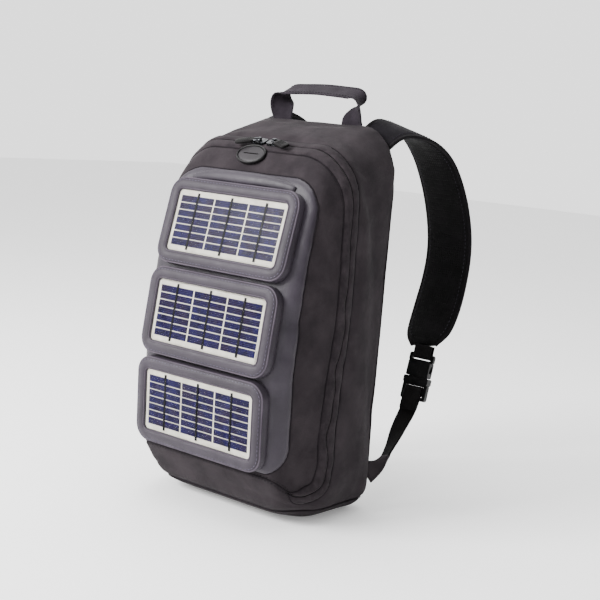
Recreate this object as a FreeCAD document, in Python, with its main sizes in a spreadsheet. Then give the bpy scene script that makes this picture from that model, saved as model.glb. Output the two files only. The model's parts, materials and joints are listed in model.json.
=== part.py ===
import FreeCAD, Part
import Sketcher
import math
import os

# Solar backpack. Frame: +Z up, the solar panels face -Y, the wearer's back is on +Y.
# The origin is on the floor, under the middle of the base. Millimetres and degrees.

MOTION_GAP = 0.4    # clear space between the lid and the bag along the zip and the fold

DIMENSIONS = [
    # alias, value, what it is
    ("bag_half_width", 130.0, "half the width at the zip"),
    ("back_half_width", 128.0, "half the width at the back panel"),
    ("nose_half_width", 103.0, "half the width in the plane of nose_y"),
    ("back_y", 93.0, "outer face of the back panel"),
    ("nose_y", -80.0, "plane of the foremost outline"),
    ("outline_overrun", 12.0, "how far the rearmost outline stands behind the back panel"),
    ("back_outline_top", 472.0, "top of the rearmost outline"),
    ("zip_outline_top", 437.0, "top of the outline at Y = 0"),
    ("nose_outline_top", 384.0, "top of the foremost outline"),
    ("back_top_radius", 82.0, "top corners of the rearmost outline"),
    ("zip_top_radius", 64.0, "top corners of the outline at Y = 0"),
    ("nose_top_radius", 60.0, "top corners of the foremost outline"),
    ("heel_radius", 34.0, "bottom corners of the rearmost outline"),
    ("base_radius", 46.0, "bottom corners of the other two outlines"),
    ("base_drop", 3.0, "how far the outlines run on below the base"),
    ("nose_outline_foot", 20.0, "foot of the foremost outline"),
    ("crown_y", 90.0, "highest edge of the bag"),
    ("crown_z", 465.0, ""),
    ("back_top_z", 460.0, "top edge of the back panel"),
    ("ridge_y", 5.0, "edge between the top and the steeper band with the zip"),
    ("ridge_z", 436.0, ""),
    ("brow_y", -14.0, "edge where the top turns down to the front"),
    ("brow_z", 427.0, ""),
    ("cheek_y", -24.0, "edge between the brow and the solar flap"),
    ("cheek_z", 415.0, ""),
    ("neck_y", -37.0, "top of the upper panel's facet"),
    ("neck_z", 384.0, ""),
    ("chest_y", -64.0, "between the upper and the middle facet"),
    ("chest_z", 279.0, ""),
    ("belly_y", -78.8, "between the middle and the lower facet"),
    ("belly_z", 174.0, ""),
    ("hip_y", -74.5, "foot of the lower facet"),
    ("hip_z", 68.0, ""),
    ("toe_y", -53.0, "bulge under the solar flap"),
    ("toe_z", 27.0, ""),
    ("sole_y", -46.0, "front of the base seam"),
    ("sole_z", 13.0, ""),
    ("base_front_y", -18.0, "front edge of the flat base"),
    ("base_back_y", 80.0, "back edge of the flat base"),
    ("heel_z", 14.0, "foot of the back panel"),
    ("shell_wall", 3.0, "lined polyester with its foam"),
    ("tape_depth", 2.0, "zip tape with the fabric sewn to it"),
    ("zip_band", 12.0, "width of each half of the zip band"),
    ("coil_width", 3.2, "each half of the closed coil"),
    ("coil_proud", 1.2, "coil above the fabric"),
    ("hinge_y", -75.0, "fold line of the lid"),
    ("hinge_z", 64.0, ""),
    ("flap_thickness", 5.0, "moulded solar flap"),
    ("flap_half_width", 104.0, ""),
    ("flap_top_radius", 31.0, ""),
    ("flap_foot_radius", 16.0, ""),
    ("flap_top_z", 396.0, ""),
    ("cap_height", 14.0, "raised band above the upper frame"),
    ("cap_half_width", 78.0, ""),
    ("frame_width", 196.0, "raised frame round each panel"),
    ("frame_height", 104.0, ""),
    ("frame_radius", 20.0, ""),
    ("frame_depth", 13.0, ""),
    ("lip", 1.5, "part of the frame in front of the panel"),
    ("window_width", 166.0, "what the frame leaves of the panel"),
    ("window_height", 73.8, ""),
    ("window_radius", 5.0, ""),
    ("panel_margin", 1.5, "edge of the panel under the frame's lip"),
    ("panel_play", 0.2, "gap between the panel and its frame"),
    ("cover_thickness", 1.5, "clear front sheet of a panel"),
    ("cover_hollow", 0.8, "recess that the cells lie in"),
    ("backsheet_thickness", 1.3, ""),
    ("cell_thickness", 0.4, ""),
    ("ribbon_thickness", 0.3, ""),
    ("cell_field_width", 156.0, "three columns of cells"),
    ("cell_field_height", 60.0, "seven rows of cells"),
    ("cell_gap", 2.4, "gap between the columns of cells"),
    ("ribbon_width", 3.0, ""),
    ("ribbon_height", 68.0, ""),
    ("junction_width", 44.0, "junction box behind each panel"),
    ("junction_height", 22.0, ""),
    ("junction_depth", 7.0, ""),
    ("junction_across", 50.0, "junction box to the right of the panel's middle"),
    ("lead_diameter", 4.0, ""),
    ("handle_width", 30.0, "webbing of the grab handle"),
    ("webbing_width", 25.0, "webbing of the shoulder straps"),
    ("webbing_thickness", 1.8, ""),
    ("handle_y", 88.5, "seam that the grab handle's ends are sewn into"),
    ("handle_z", 466.8, ""),
    ("buckle_across", 121.0, "mouth of the buckle's socket"),
    ("buckle_y", 187.0, ""),
    ("buckle_z", 153.0, ""),
    ("buckle_lean", 14.0, "from upright, degrees"),
    ("buckle_width", 36.0, ""),
    ("socket_length", 30.0, ""),
    ("plug_length", 30.0, ""),
    ("buckle_thickness", 10.0, ""),
    ("badge_width", 42.0, ""),
    ("badge_height", 27.0, ""),
    ("badge_across", -7.0, ""),
    ("slider_middle", 2.5, "middle of the bag to the middle between the zip sliders"),
    ("slider_rest", 11.0, "from there to each slider"),
    ("pull_length", 30.0, ""),
    ("pull_turn", 24.0, "pull tabs turned to the front, degrees"),
]


class Size:
    """A number of the model: its value now, and the expression that keeps it up to date."""

    def __init__(self, value, text):
        self.value = value
        self.text = text

    @staticmethod
    def of(other):
        return other if isinstance(other, Size) else Size(float(other), f"{float(other)}")

    def __add__(self, other):
        other = Size.of(other)
        return Size(self.value + other.value, f"({self.text} + {other.text})")

    def __radd__(self, other):
        return Size.of(other) + self

    def __sub__(self, other):
        other = Size.of(other)
        return Size(self.value - other.value, f"({self.text} - {other.text})")

    def __rsub__(self, other):
        return Size.of(other) - self

    def __mul__(self, other):
        other = Size.of(other)
        return Size(self.value * other.value, f"({self.text} * {other.text})")

    __rmul__ = __mul__

    def __truediv__(self, other):
        other = Size.of(other)
        return Size(self.value / other.value, f"({self.text} / {other.text})")

    def __neg__(self):
        return Size(-self.value, f"(0 - {self.text})")


def steepness(rise, run):
    """Angle in degrees whose tangent is rise / run."""
    angle = math.degrees(math.atan2(rise.value, run.value))
    return Size(angle, f"atan2({rise.text}; {run.text})")


def along(angle):
    """Cosine and sine of an angle in degrees."""
    radians = math.radians(angle.value)
    return (Size(math.cos(radians), f"cos({angle.text})"),
            Size(math.sin(radians), f"sin({angle.text})"))


class Dimensions:
    """The driving dimensions, read back from the spreadsheet under their aliases."""

    def __init__(self, doc):
        sheet = doc.addObject("Spreadsheet::Sheet", "Dims")
        for row, (alias, value, note) in enumerate(DIMENSIONS, start=1):
            sheet.set(f"A{row}", alias)
            sheet.set(f"B{row}", str(value))
            sheet.set(f"C{row}", note)
            sheet.setAlias(f"B{row}", alias)
        doc.recompute()
        for alias, _, _ in DIMENSIONS:
            setattr(self, alias, Size(float(sheet.get(alias)), f"Dims.{alias}"))


doc = FreeCAD.newDocument("solar_backpack")
d = Dimensions(doc)
nodes = []      # the objects that are written out, one STEP file each


# ---------------------------------------------------------------- tools for drawing

def vec(x, y, z=0.0):
    return FreeCAD.Vector(x, y, z)


def bind(obj, prop, size):
    """Set a property to a size, and tie it to the sheet."""
    obj.setExpression(prop, Size.of(size).text)


def place(obj, x=0, y=0, z=0, axis=(1, 0, 0), angle=0):
    obj.Placement = FreeCAD.Placement(vec(0, 0), FreeCAD.Rotation(vec(*axis), 0))
    bind(obj, "Placement.Base.x", x)
    bind(obj, "Placement.Base.y", y)
    bind(obj, "Placement.Base.z", z)
    if Size.of(angle).value:
        obj.Placement.Rotation = FreeCAD.Rotation(vec(*axis), 1)
        bind(obj, "Placement.Rotation.Angle", angle)


def keep(obj, label):
    """Name an object after its sub-part and list it for export."""
    obj.Label = label
    nodes.append(obj)
    return obj


def arc_centre(start, end, radius):
    """Centre of the anticlockwise arc of this radius from start to end."""
    middle = (start + end) * 0.5
    half = (end - start) * 0.5
    rise = math.sqrt(max(radius ** 2 - half.Length ** 2, 0.0))
    left = vec(-half.y, half.x).normalize()
    return middle + left * rise


def draw_outline(sketch, corners):
    """Draw a closed anticlockwise outline and tie it to the sheet.

    A corner is (across, up) or (across, up, radius). With a radius, the edge from that
    corner to the next one is an anticlockwise arc.
    """
    first = sketch.GeometryCount
    count = len(corners)
    points = [vec(Size.of(c[0]).value, Size.of(c[1]).value) for c in corners]
    for i, corner in enumerate(corners):
        start, end = points[i], points[(i + 1) % count]
        if len(corner) == 2:
            sketch.addGeometry(Part.LineSegment(start, end), False)
            continue
        radius = Size.of(corner[2]).value
        centre = arc_centre(start, end, radius)
        from_angle = math.atan2(start.y - centre.y, start.x - centre.x)
        to_angle = math.atan2(end.y - centre.y, end.x - centre.x)
        circle = Part.Circle(centre, vec(0, 0, 1), radius)
        sketch.addGeometry(Part.ArcOfCircle(circle, from_angle, to_angle), False)
    for i, corner in enumerate(corners):
        edge, following = first + i, first + (i + 1) % count
        sketch.addConstraint(Sketcher.Constraint("Coincident", edge, 2, following, 1))
        for kind, size in (("DistanceX", corner[0]), ("DistanceY", corner[1])):
            tie(sketch, size, Sketcher.Constraint(kind, -1, 1, edge, 1, Size.of(size).value))
        if len(corner) == 3:
            radius = Size.of(corner[2])
            tie(sketch, radius, Sketcher.Constraint("Radius", edge, radius.value))


def tie(sketch, size, constraint):
    number = sketch.addConstraint(constraint)
    sketch.setExpression(f"Constraints[{number}]", Size.of(size).text)


def rectangle(width, height, radius=None, across=0, up=0):
    """Corners of a rectangle about (across, up), with rounded corners if asked."""
    left, right = across - Size.of(width) / 2, across + Size.of(width) / 2
    foot, top = up - Size.of(height) / 2, up + Size.of(height) / 2
    if radius is None:
        return [(left, foot), (right, foot), (right, top), (left, top)]
    return [(left + radius, foot), (right - radius, foot, radius),
            (right, foot + radius), (right, top - radius, radius),
            (right - radius, top), (left + radius, top, radius),
            (left, top - radius), (left, foot + radius, radius)]


def free_sketch(name, corners, x=0, y=0, z=0, axis=(1, 0, 0), angle=0):
    """A sketch outside any body. Turned 90 degrees about X, it lies in an XZ plane."""
    sketch = doc.addObject("Sketcher::SketchObject", name)
    draw_outline(sketch, corners)
    place(sketch, x, y, z, axis, angle)
    return sketch


def profile_sketch(name, corners):
    """A sketch in the YZ plane: across is Y, up is Z."""
    sketch = doc.addObject("Sketcher::SketchObject", name)
    draw_outline(sketch, corners)
    sketch.Placement = FreeCAD.Placement(vec(0, 0), FreeCAD.Rotation(vec(1, 1, 1), 120))
    return sketch


def body_sketch(body, role, corners, outward=0):
    """A sketch on one of a body's own planes, moved along that plane's normal."""
    sketch = body.newObject("Sketcher::SketchObject", "Sketch")
    plane = next(f for f in body.Origin.OriginFeatures if f.Role == role)
    sketch.AttachmentSupport = [(plane, "")]
    sketch.MapMode = "FlatFace"
    draw_outline(sketch, corners)
    bind(sketch, "AttachmentOffset.Base.z", outward)
    return sketch


def circle_sketch(body, role, radius, across=0, up=0, outward=0):
    """A full circle on one of a body's own planes."""
    sketch = body_sketch(body, role, [], outward)
    centre = vec(Size.of(across).value, Size.of(up).value)
    sketch.addGeometry(Part.Circle(centre, vec(0, 0, 1), Size.of(radius).value), False)
    tie(sketch, radius, Sketcher.Constraint("Radius", 0, Size.of(radius).value))
    tie(sketch, across, Sketcher.Constraint("DistanceX", -1, 1, 0, 3, centre.x))
    tie(sketch, up, Sketcher.Constraint("DistanceY", -1, 1, 0, 3, centre.y))
    return sketch


def new_body(label, compound=False):
    body = doc.addObject("PartDesign::Body", label)
    body.AllowCompound = compound
    return keep(body, label)


def pad(body, sketch, length, symmetric=False, backward=False):
    feature = body.newObject("PartDesign::Pad", "Pad")
    feature.Profile = sketch
    feature.SideType = "Symmetric" if symmetric else "One side"
    feature.Reversed = backward
    bind(feature, "Length", length)
    return feature


def pocket(body, sketch, length=None, backward=False):
    """Cut to a depth, or right through both ways. The cut must take material away."""
    doc.recompute()
    before = body.Shape.Volume
    feature = body.newObject("PartDesign::Pocket", "Pocket")
    feature.Profile = sketch
    if length is None:
        feature.Type = "ThroughAll"
        feature.SideType = "Symmetric"
    else:
        feature.Reversed = backward
        bind(feature, "Length", length)
    doc.recompute()
    if not feature.Shape.Volume < before - 0.01:
        raise RuntimeError(f"{body.Label}: a pocket cuts nothing")
    return feature


def repeat(body, feature, sketch, axis, step, count):
    """A row of copies of a feature, along the sketch's H_Axis or V_Axis."""
    pattern = body.newObject("PartDesign::LinearPattern", "Row")
    pattern.Originals = [feature]
    pattern.Direction = (sketch, [axis])
    pattern.Mode = "Spacing"
    pattern.Occurrences = count
    bind(pattern, "Offset", step)
    body.Tip = pattern
    return pattern


def box(name, x, y, z):
    """A box between two values along each axis."""
    solid = doc.addObject("Part::Box", name)
    for prop, (low, high) in (("Length", x), ("Width", y), ("Height", z)):
        bind(solid, prop, Size.of(high) - low)
    place(solid, x[0], y[0], z[0])
    return solid


def combine(kind, name, first, second):
    """Part::Cut or Part::Common of two objects."""
    result = doc.addObject(f"Part::{kind}", name)
    result.Base = first
    result.Tool = second
    return result


def fuse(name, *shapes):
    result = doc.addObject("Part::MultiFuse", name)
    result.Shapes = list(shapes)
    return result


def grown(name, sketch, by):
    """A sketch's outline moved outwards, or inwards where by is negative."""
    if Size.of(by).value == 0:
        return sketch
    outline = doc.addObject("Part::Offset2D", name)
    outline.Source = sketch
    outline.Join = "Intersection"
    bind(outline, "Value", by)
    return outline


def prism(name, outline, direction, length):
    """Extrude an outline by half the length each way."""
    solid = doc.addObject("Part::Extrusion", name)
    solid.Base = outline
    solid.DirMode = "Custom"
    solid.Dir = vec(*direction)
    solid.Solid = True
    solid.Symmetric = True
    bind(solid, "LengthFwd", length)
    return solid


# ---------------------------------------------------------------- the bag's form

FULL = 400      # longer than the bag in every direction it is used for

side_profile = profile_sketch("side_profile", [
    (d.base_back_y, 0), (d.back_y, d.heel_z), (d.back_y, d.back_top_z), (d.crown_y, d.crown_z),
    (d.ridge_y, d.ridge_z), (d.brow_y, d.brow_z), (d.cheek_y, d.cheek_z),
    (d.neck_y, d.neck_z), (d.chest_y, d.chest_z),
    (d.belly_y, d.belly_z), (d.hip_y, d.hip_z), (d.toe_y, d.toe_z), (d.sole_y, d.sole_z),
    (d.base_front_y, 0)])


def outline_corners(half_width, top, radius, foot, foot_radius):
    """A bag outline seen from the front: round top corners and round foot corners."""
    return [(foot_radius - half_width, foot), (half_width - foot_radius, foot, foot_radius),
            (half_width, foot + foot_radius), (half_width, top - radius, radius),
            (half_width - radius, top), (radius - half_width, top, radius),
            (-half_width, top - radius), (-half_width, foot + foot_radius, foot_radius)]


outlines = [
    free_sketch("back_outline", outline_corners(
        d.back_half_width, d.back_outline_top, d.back_top_radius, -d.base_drop, d.heel_radius),
        y=d.back_y + d.outline_overrun, angle=90),
    free_sketch("zip_outline", outline_corners(
        d.bag_half_width, d.zip_outline_top, d.zip_top_radius, -d.base_drop, d.base_radius),
        angle=90),
    free_sketch("nose_outline", outline_corners(
        d.nose_half_width, d.nose_outline_top, d.nose_top_radius, d.nose_outline_foot,
        d.base_radius),
        y=d.nose_y, angle=90),
]


def bag_form(name, by):
    """The whole bag as a solid, its skin moved outwards by a distance."""
    profile = prism(f"{name}_side", grown(f"{name}_profile", side_profile, by), (1, 0, 0), FULL)
    loft = doc.addObject("Part::Loft", f"{name}_loft")
    loft.Sections = [grown(f"{name}_outline", outline, by) for outline in outlines]
    loft.Solid = True
    loft.Ruled = True
    return combine("Common", name, profile, loft)


outer_form = bag_form("outer_form", 0)
inner_form = bag_form("inner_form", -d.shell_wall)
tape_form = bag_form("tape_form", -d.tape_depth)
coil_form = bag_form("coil_form", d.coil_proud)

# The zip runs over the top, down both sides and forward along the bottom, and the seam
# goes on from its ends to the fold under the solar flap.
FAR = 160
zip_line = [(-38, 36), (-14, 42), (-4, 66), (-4, 120), (5, 250), (5, 358), (1, 382), (-9, 410),
            (-4, 432), (-9, 560)]
fold = (d.hinge_y, d.hinge_z)
before_fold = (-FAR, d.hinge_z)
lid_side = profile_sketch("lid_side", [before_fold, fold] + zip_line + [(-FAR, 560)])
bag_side = profile_sketch("bag_side", [(FAR, 560)] + zip_line[::-1] + [fold, before_fold,
                                       (-FAR, -FAR), (FAR, -FAR)])
zip_reach = box("zip_reach", (-FULL, FULL), (-36, FAR), (38, 480))


def zip_side(side, distance):
    """Everything on one side of the zip, from a distance on."""
    name = f"{side.Name}_{abs(Size.of(distance).value):.0f}"
    return prism(name, grown(f"{name}_edge", side, -Size.of(distance)), (1, 0, 0), FULL)


def zip_strip(name, side, start, end):
    """The strip between two distances from the zip, where there is a zip."""
    strip = combine("Cut", f"{name}_strip", zip_side(side, start), zip_side(side, end))
    return combine("Common", f"{name}_zone", strip, zip_reach)


def skin(name, outer, inner):
    return combine("Cut", name, outer, inner)


def half_of_bag(side, shell, tape, coil):
    """One half of the bag: its shell, its zip tape and its coil, edge to edge."""
    wall = skin(f"{shell}_wall", outer_form, inner_form)
    piece = combine("Common", f"{shell}_piece", wall, zip_side(side, MOTION_GAP / 2))
    band = zip_strip(f"{shell}_band", side, 0, d.zip_band)
    keep(combine("Cut", shell, piece, band), shell)
    tape_zone = zip_strip(tape, side, d.coil_width, d.zip_band)
    keep(combine("Common", tape, skin(f"{tape}_skin", outer_form, tape_form), tape_zone), tape)
    coil_zone = zip_strip(coil, side, MOTION_GAP / 2, d.coil_width)
    keep(combine("Common", coil, skin(f"{coil}_skin", coil_form, tape_form), coil_zone), coil)


half_of_bag(lid_side, "front_shell", "zipper_tape_front", "zipper_coil_front")
half_of_bag(bag_side, "rear_shell", "zipper_tape_rear", "zipper_coil_rear")


# ---------------------------------------------------------------- solar flap

def solar_flap():
    """Moulded flap on the bag's front, with a raised band along its top edge."""
    raised = grown("flap_profile", side_profile, d.flap_thickness)
    sheet = combine("Cut", "flap_sheet", prism("flap_side", raised, (1, 0, 0), FULL),
                    prism("flap_back", side_profile, (1, 0, 0), FULL))
    half, top, foot = d.flap_half_width, d.flap_top_z, d.hip_z
    corner, heel = d.flap_top_radius, d.flap_foot_radius
    outline = free_sketch("flap_outline", [
        (heel - half, foot), (half - heel, foot, heel), (half, foot + heel),
        (half, top - corner, corner), (half - corner, top), (corner - half, top, corner),
        (-half, top - corner), (-half, foot + heel, heel)], y=-100, angle=90)
    front = prism("flap_front", outline, (0, 1, 0), 160)
    flap = combine("Common", "flap_cut", sheet, front)
    cap = raised_band()
    keep(fuse("solar_flap", flap, cap), "solar_flap")


def facet(low, high):
    """Middle of a facet of the front, and the angle that turns a flat piece onto it."""
    (low_y, low_z), (high_y, high_z) = low, high
    return ((low_y + high_y) / 2, (low_z + high_z) / 2, steepness(high_z - low_z, high_y - low_y))


FACETS = {
    "top": facet((d.chest_y, d.chest_z), (d.neck_y, d.neck_z)),
    "middle": facet((d.belly_y, d.belly_z), (d.chest_y, d.chest_z)),
    "bottom": facet((d.hip_y, d.hip_z), (d.belly_y, d.belly_z)),
}


def raised_band():
    """The raised band: a flat bar on the upper facet, above the upper frame."""
    y, z, angle = FACETS["top"]
    cos, sin = along(angle)
    start = d.frame_height / 2 + 0.4
    radius = d.cap_height * 0.8
    corners = [(-d.cap_half_width, start), (d.cap_half_width, start, radius * 1.5),
               (d.cap_half_width - radius, start + d.cap_height),
               (radius - d.cap_half_width, start + d.cap_height, radius * 1.5)]
    outline = free_sketch("cap_outline", corners, y=y, z=z, angle=angle)
    cap = doc.addObject("Part::Extrusion", "cap")
    cap.Base = outline
    cap.DirMode = "Normal"
    cap.Solid = True
    bind(cap, "LengthFwd", d.flap_thickness + d.frame_depth - 1)
    return cap


solar_flap()


# ---------------------------------------------------------------- solar panels
# A panel's pieces are drawn flat: X across, Y up the panel, Z outwards from the shell.

def on_facet(body, place_name):
    y, z, angle = FACETS[place_name]
    place(body, 0, y, z, angle=angle)


def panel(place_name):
    """A raised frame with its laminate: backsheet, cells, ribbons, clear cover, and box."""
    width = d.window_width + 2 * d.panel_margin
    height = d.window_height + 2 * d.panel_margin
    corner = d.window_radius + d.panel_margin
    face = d.flap_thickness + d.frame_depth - d.lip
    cover_back = face - d.cover_thickness
    backsheet_back = cover_back - d.backsheet_thickness

    frame = new_body(f"panel_frame_{place_name}")
    outline = rectangle(d.frame_width, d.frame_height, d.frame_radius)
    pad(frame, body_sketch(frame, "XY_Plane", outline, d.flap_thickness), d.frame_depth)
    window = rectangle(d.window_width, d.window_height, d.window_radius)
    pocket(frame, body_sketch(frame, "XY_Plane", window))
    seat = rectangle(width + 2 * d.panel_play, height + 2 * d.panel_play, corner)
    pocket(frame, body_sketch(frame, "XY_Plane", seat, d.flap_thickness),
           d.frame_depth - d.lip, backward=True)
    on_facet(frame, place_name)

    backsheet = new_body(f"panel_backsheet_{place_name}")
    pad(backsheet, body_sketch(backsheet, "XY_Plane", rectangle(width, height, corner),
                               backsheet_back), d.backsheet_thickness)
    on_facet(backsheet, place_name)

    cover = new_body(f"panel_cover_{place_name}")
    pad(cover, body_sketch(cover, "XY_Plane", rectangle(width, height, corner), cover_back),
        d.cover_thickness)
    hollow = rectangle(d.cell_field_width + 2, d.ribbon_height + 2)
    pocket(cover, body_sketch(cover, "XY_Plane", hollow, cover_back), d.cover_hollow, backward=True)
    on_facet(cover, place_name)

    cells = new_body(f"panel_cells_{place_name}", compound=True)
    field = rectangle(d.cell_field_width, d.cell_field_height)
    pad(cells, body_sketch(cells, "XY_Plane", field, cover_back), d.cell_thickness)
    split_cells(cells, columns=3, rows=7)
    on_facet(cells, place_name)

    ribbons = new_body(f"panel_ribbons_{place_name}", compound=True)
    column = d.cell_field_width / 3
    ribbon = body_sketch(ribbons, "XY_Plane",
                         rectangle(d.ribbon_width, d.ribbon_height, across=-column),
                         cover_back + d.cell_thickness)
    strip = pad(ribbons, ribbon, d.ribbon_thickness)
    repeat(ribbons, strip, ribbon, "H_Axis", column, 3)
    on_facet(ribbons, place_name)

    junction = new_body(f"panel_junction_box_{place_name}")
    case = rectangle(d.junction_width, d.junction_height, radius=3, across=d.junction_across)
    pad(junction, body_sketch(junction, "XY_Plane", case, backsheet_back), d.junction_depth,
        backward=True)
    on_facet(junction, place_name)


def split_cells(cells, columns, rows):
    """Cut the gaps between the cells out of one plate."""
    column = d.cell_field_width / columns
    row = d.cell_field_height / rows
    upright = body_sketch(cells, "XY_Plane", rectangle(
        d.cell_gap, d.cell_field_height + 2, across=column - d.cell_field_width / 2))
    cut = pocket(cells, upright)
    repeat(cells, cut, upright, "H_Axis", column, columns - 1)
    level = body_sketch(cells, "XY_Plane", rectangle(
        d.cell_field_width + 2, d.cell_gap / 2, up=row - d.cell_field_height / 2))
    cut = pocket(cells, level)
    repeat(cells, cut, level, "V_Axis", row, rows - 1)


for place_name in FACETS:
    panel(place_name)


# ---------------------------------------------------------------- electronics in the lid

LEAD_BEND = 20.0        # radius of each lead's bend
LEAD_SPACING = 7.0


def round_route(points, radius):
    """A wire of straight runs joined by tangent arcs of one radius."""
    edges = []
    start = points[0]
    for before, corner, after in zip(points, points[1:], points[2:]):
        arrive = (before - corner).normalize()
        leave = (after - corner).normalize()
        half_turn = (math.pi - arrive.getAngle(leave)) / 2
        setback = radius * math.tan(half_turn)
        first, last = corner + arrive * setback, corner + leave * setback
        inward = (arrive + leave).normalize()
        middle = corner + inward * (radius / math.cos(half_turn) - radius)
        edges.append(Part.LineSegment(start, first).toShape())
        edges.append(Part.Arc(first, middle, last).toShape())
        start = last
    edges.append(Part.LineSegment(start, points[-1]).toShape())
    return Part.Wire(edges)


def round_tube(route, diameter):
    """A round cable along a route, checked against its length."""
    start = route.Edges[0]
    ring = Part.Wire(Part.Circle(start.Vertexes[0].Point, start.tangentAt(start.FirstParameter),
                                 diameter / 2).toShape())
    tube = route.makePipeShell([ring], True, True)
    expected = math.pi * diameter ** 2 / 4 * route.Length
    if abs(tube.Volume - expected) > 0.02 * expected:
        raise RuntimeError("a cable's volume doesn't match its length")
    return tube


COMBINER_FOOT, COMBINER_TOP = 166.0, 186.0
COMBINER_FRONT, COMBINER_BACK = -58.0, -38.0
LEAD_DROP_Y = -47.0     # plane in which the leads run up and down


def panel_point(place_name, across, up, out):
    """A point given in a panel's own directions: across, up the panel, outwards."""
    y, z, angle = (size.value for size in FACETS[place_name])
    cos, sin = math.cos(math.radians(angle)), math.sin(math.radians(angle))
    return vec(across, y + up * cos - out * sin, z + up * sin + out * cos)


def panel_harness():
    """One lead from each junction box through the shell to the combiner."""
    box_back = (d.flap_thickness + d.frame_depth - d.lip - d.cover_thickness
                - d.backsheet_thickness - d.junction_depth).value
    leads = []
    for place_name, shift, end in (("top", LEAD_SPACING, COMBINER_TOP),
                                   ("middle", 0.0, COMBINER_TOP),
                                   ("bottom", 0.0, COMBINER_FOOT)):
        across = d.junction_across.value + shift
        exit_point = panel_point(place_name, across, 0, box_back)
        inside = panel_point(place_name, across, 0, -1)
        corner = inside + (inside - exit_point) * ((LEAD_DROP_Y - inside.y) / (inside.y - exit_point.y))
        bend = min(LEAD_BEND, 0.8 * (corner - exit_point).Length)
        print(f"lead of the {place_name} panel: bend radius {bend:.1f} mm")
        route = round_route([exit_point, corner, vec(across, LEAD_DROP_Y, end)], bend)
        leads.append(round_tube(route, d.lead_diameter.value))
    harness = doc.addObject("Part::Feature", "panel_harness")
    harness.Shape = Part.makeCompound(leads)
    return keep(harness, "panel_harness")


def lead_holes():
    """Clearance for the leads, shared by the shell and the flap."""
    holes = []
    for place_name, shift in (("top", LEAD_SPACING), ("middle", 0.0), ("bottom", 0.0)):
        y, z, angle = FACETS[place_name]
        outline = free_sketch(f"lead_hole_{place_name}", rectangle(
            d.lead_diameter + 7, d.lead_diameter + 7, across=d.junction_across + shift),
            y=y, z=z, angle=angle)
        hole = doc.addObject("Part::Extrusion", f"lead_way_{place_name}")
        hole.Base = outline
        hole.DirMode = "Normal"
        hole.Solid = True
        hole.Symmetric = True
        bind(hole, "LengthFwd", 40)
        holes.append(hole)
    return fuse("lead_ways", *holes)


def drill_lead_holes():
    """Cut the lead holes through the flap and the front shell."""
    ways = lead_holes()
    for label in ("front_shell", "solar_flap"):
        index = next(i for i, node in enumerate(nodes) if node.Label == label)
        plain = nodes[index]
        plain.Label = f"{label}_plain"
        drilled = combine("Cut", f"{label}_drilled", plain, ways)
        drilled.Label = label
        nodes[index] = drilled


def rounded_case(label, x, y, z, radius):
    """A closed case with rounded upright edges, between two values along each axis."""
    body = new_body(label)
    width, depth = x[1] - x[0], y[1] - y[0]
    outline = rectangle(width, depth, radius, across=(x[0] + x[1]) / 2, up=(y[0] + y[1]) / 2)
    pad(body, body_sketch(body, "XY_Plane", outline, z[0]), z[1] - z[0])
    return body


BATTERY_X, BATTERY_Y, BATTERY_Z = (-88.0, 8.0), (-64.0, -44.0), (78.0, 196.0)
POCKET_WALL = 2.0
POCKET_PLAY = 0.6


def battery_and_pocket():
    """The battery pack, in an open-topped pocket on the lid's inner face."""
    rounded_case("battery_pack", BATTERY_X, BATTERY_Y, BATTERY_Z, 6.0)
    low = [s[0] - POCKET_PLAY for s in (BATTERY_X, BATTERY_Y, BATTERY_Z)]
    high = [s[1] + POCKET_PLAY for s in (BATTERY_X, BATTERY_Y, BATTERY_Z)]
    rim = BATTERY_Z[1] - 18
    outside = box("pocket_outside", (low[0] - POCKET_WALL, high[0] + POCKET_WALL),
                  (low[1] - POCKET_WALL, high[1] + POCKET_WALL), (low[2] - POCKET_WALL, rim))
    inside = box("pocket_inside", (low[0], high[0]), (low[1], high[1]), (low[2], rim + 1))
    keep(combine("Cut", "battery_pocket", outside, inside), "battery_pocket")


def controller_and_combiner():
    """Charge controller with its output port on top, and the combiner above it."""
    rounded_case("lead_combiner", (40.0, 68.0), (COMBINER_FRONT + 1, COMBINER_BACK),
                 (COMBINER_FOOT, COMBINER_TOP), 3.0)
    controller = rounded_case("charge_controller", (68.4, 94.0), (-58.0, -30.0),
                              (136.0, 200.0), 3.0)
    port = rectangle(13.0, 5.6, across=81.2, up=-44.0)
    pocket(controller, body_sketch(controller, "XY_Plane", port, 200.0), 10.0)


panel_harness()
drill_lead_holes()
battery_and_pocket()
controller_and_combiner()


# ---------------------------------------------------------------- on the top of the bag
# The sliders are drawn on the slope: X across the bag, Y up the slope, Z out of it.
# Their origin is on the zip line, in the middle of the bag.

SLOPE = steepness(d.ridge_z - d.brow_z, d.ridge_y - d.brow_y)
SLOPE_COS, SLOPE_SIN = along(SLOPE)
ZIP_TOP_Y = -4.2
ZIP_TOP_Z = d.brow_z + (ZIP_TOP_Y - d.brow_y) * SLOPE_SIN / SLOPE_COS


def on_slope(obj, across=0, up=0, out=0):
    place(obj, across, ZIP_TOP_Y + up * SLOPE_COS - out * SLOPE_SIN,
          ZIP_TOP_Z + up * SLOPE_SIN + out * SLOPE_COS, angle=SLOPE)


PIN_HEIGHT = 6.4
PIN_RADIUS = 1.2
PIN_HOLE = (3.8, 2.5, 1.2)      # slotted, so that the pin fits turned to the front
BRIDGE_HALF_WIDTH = 1.1


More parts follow.
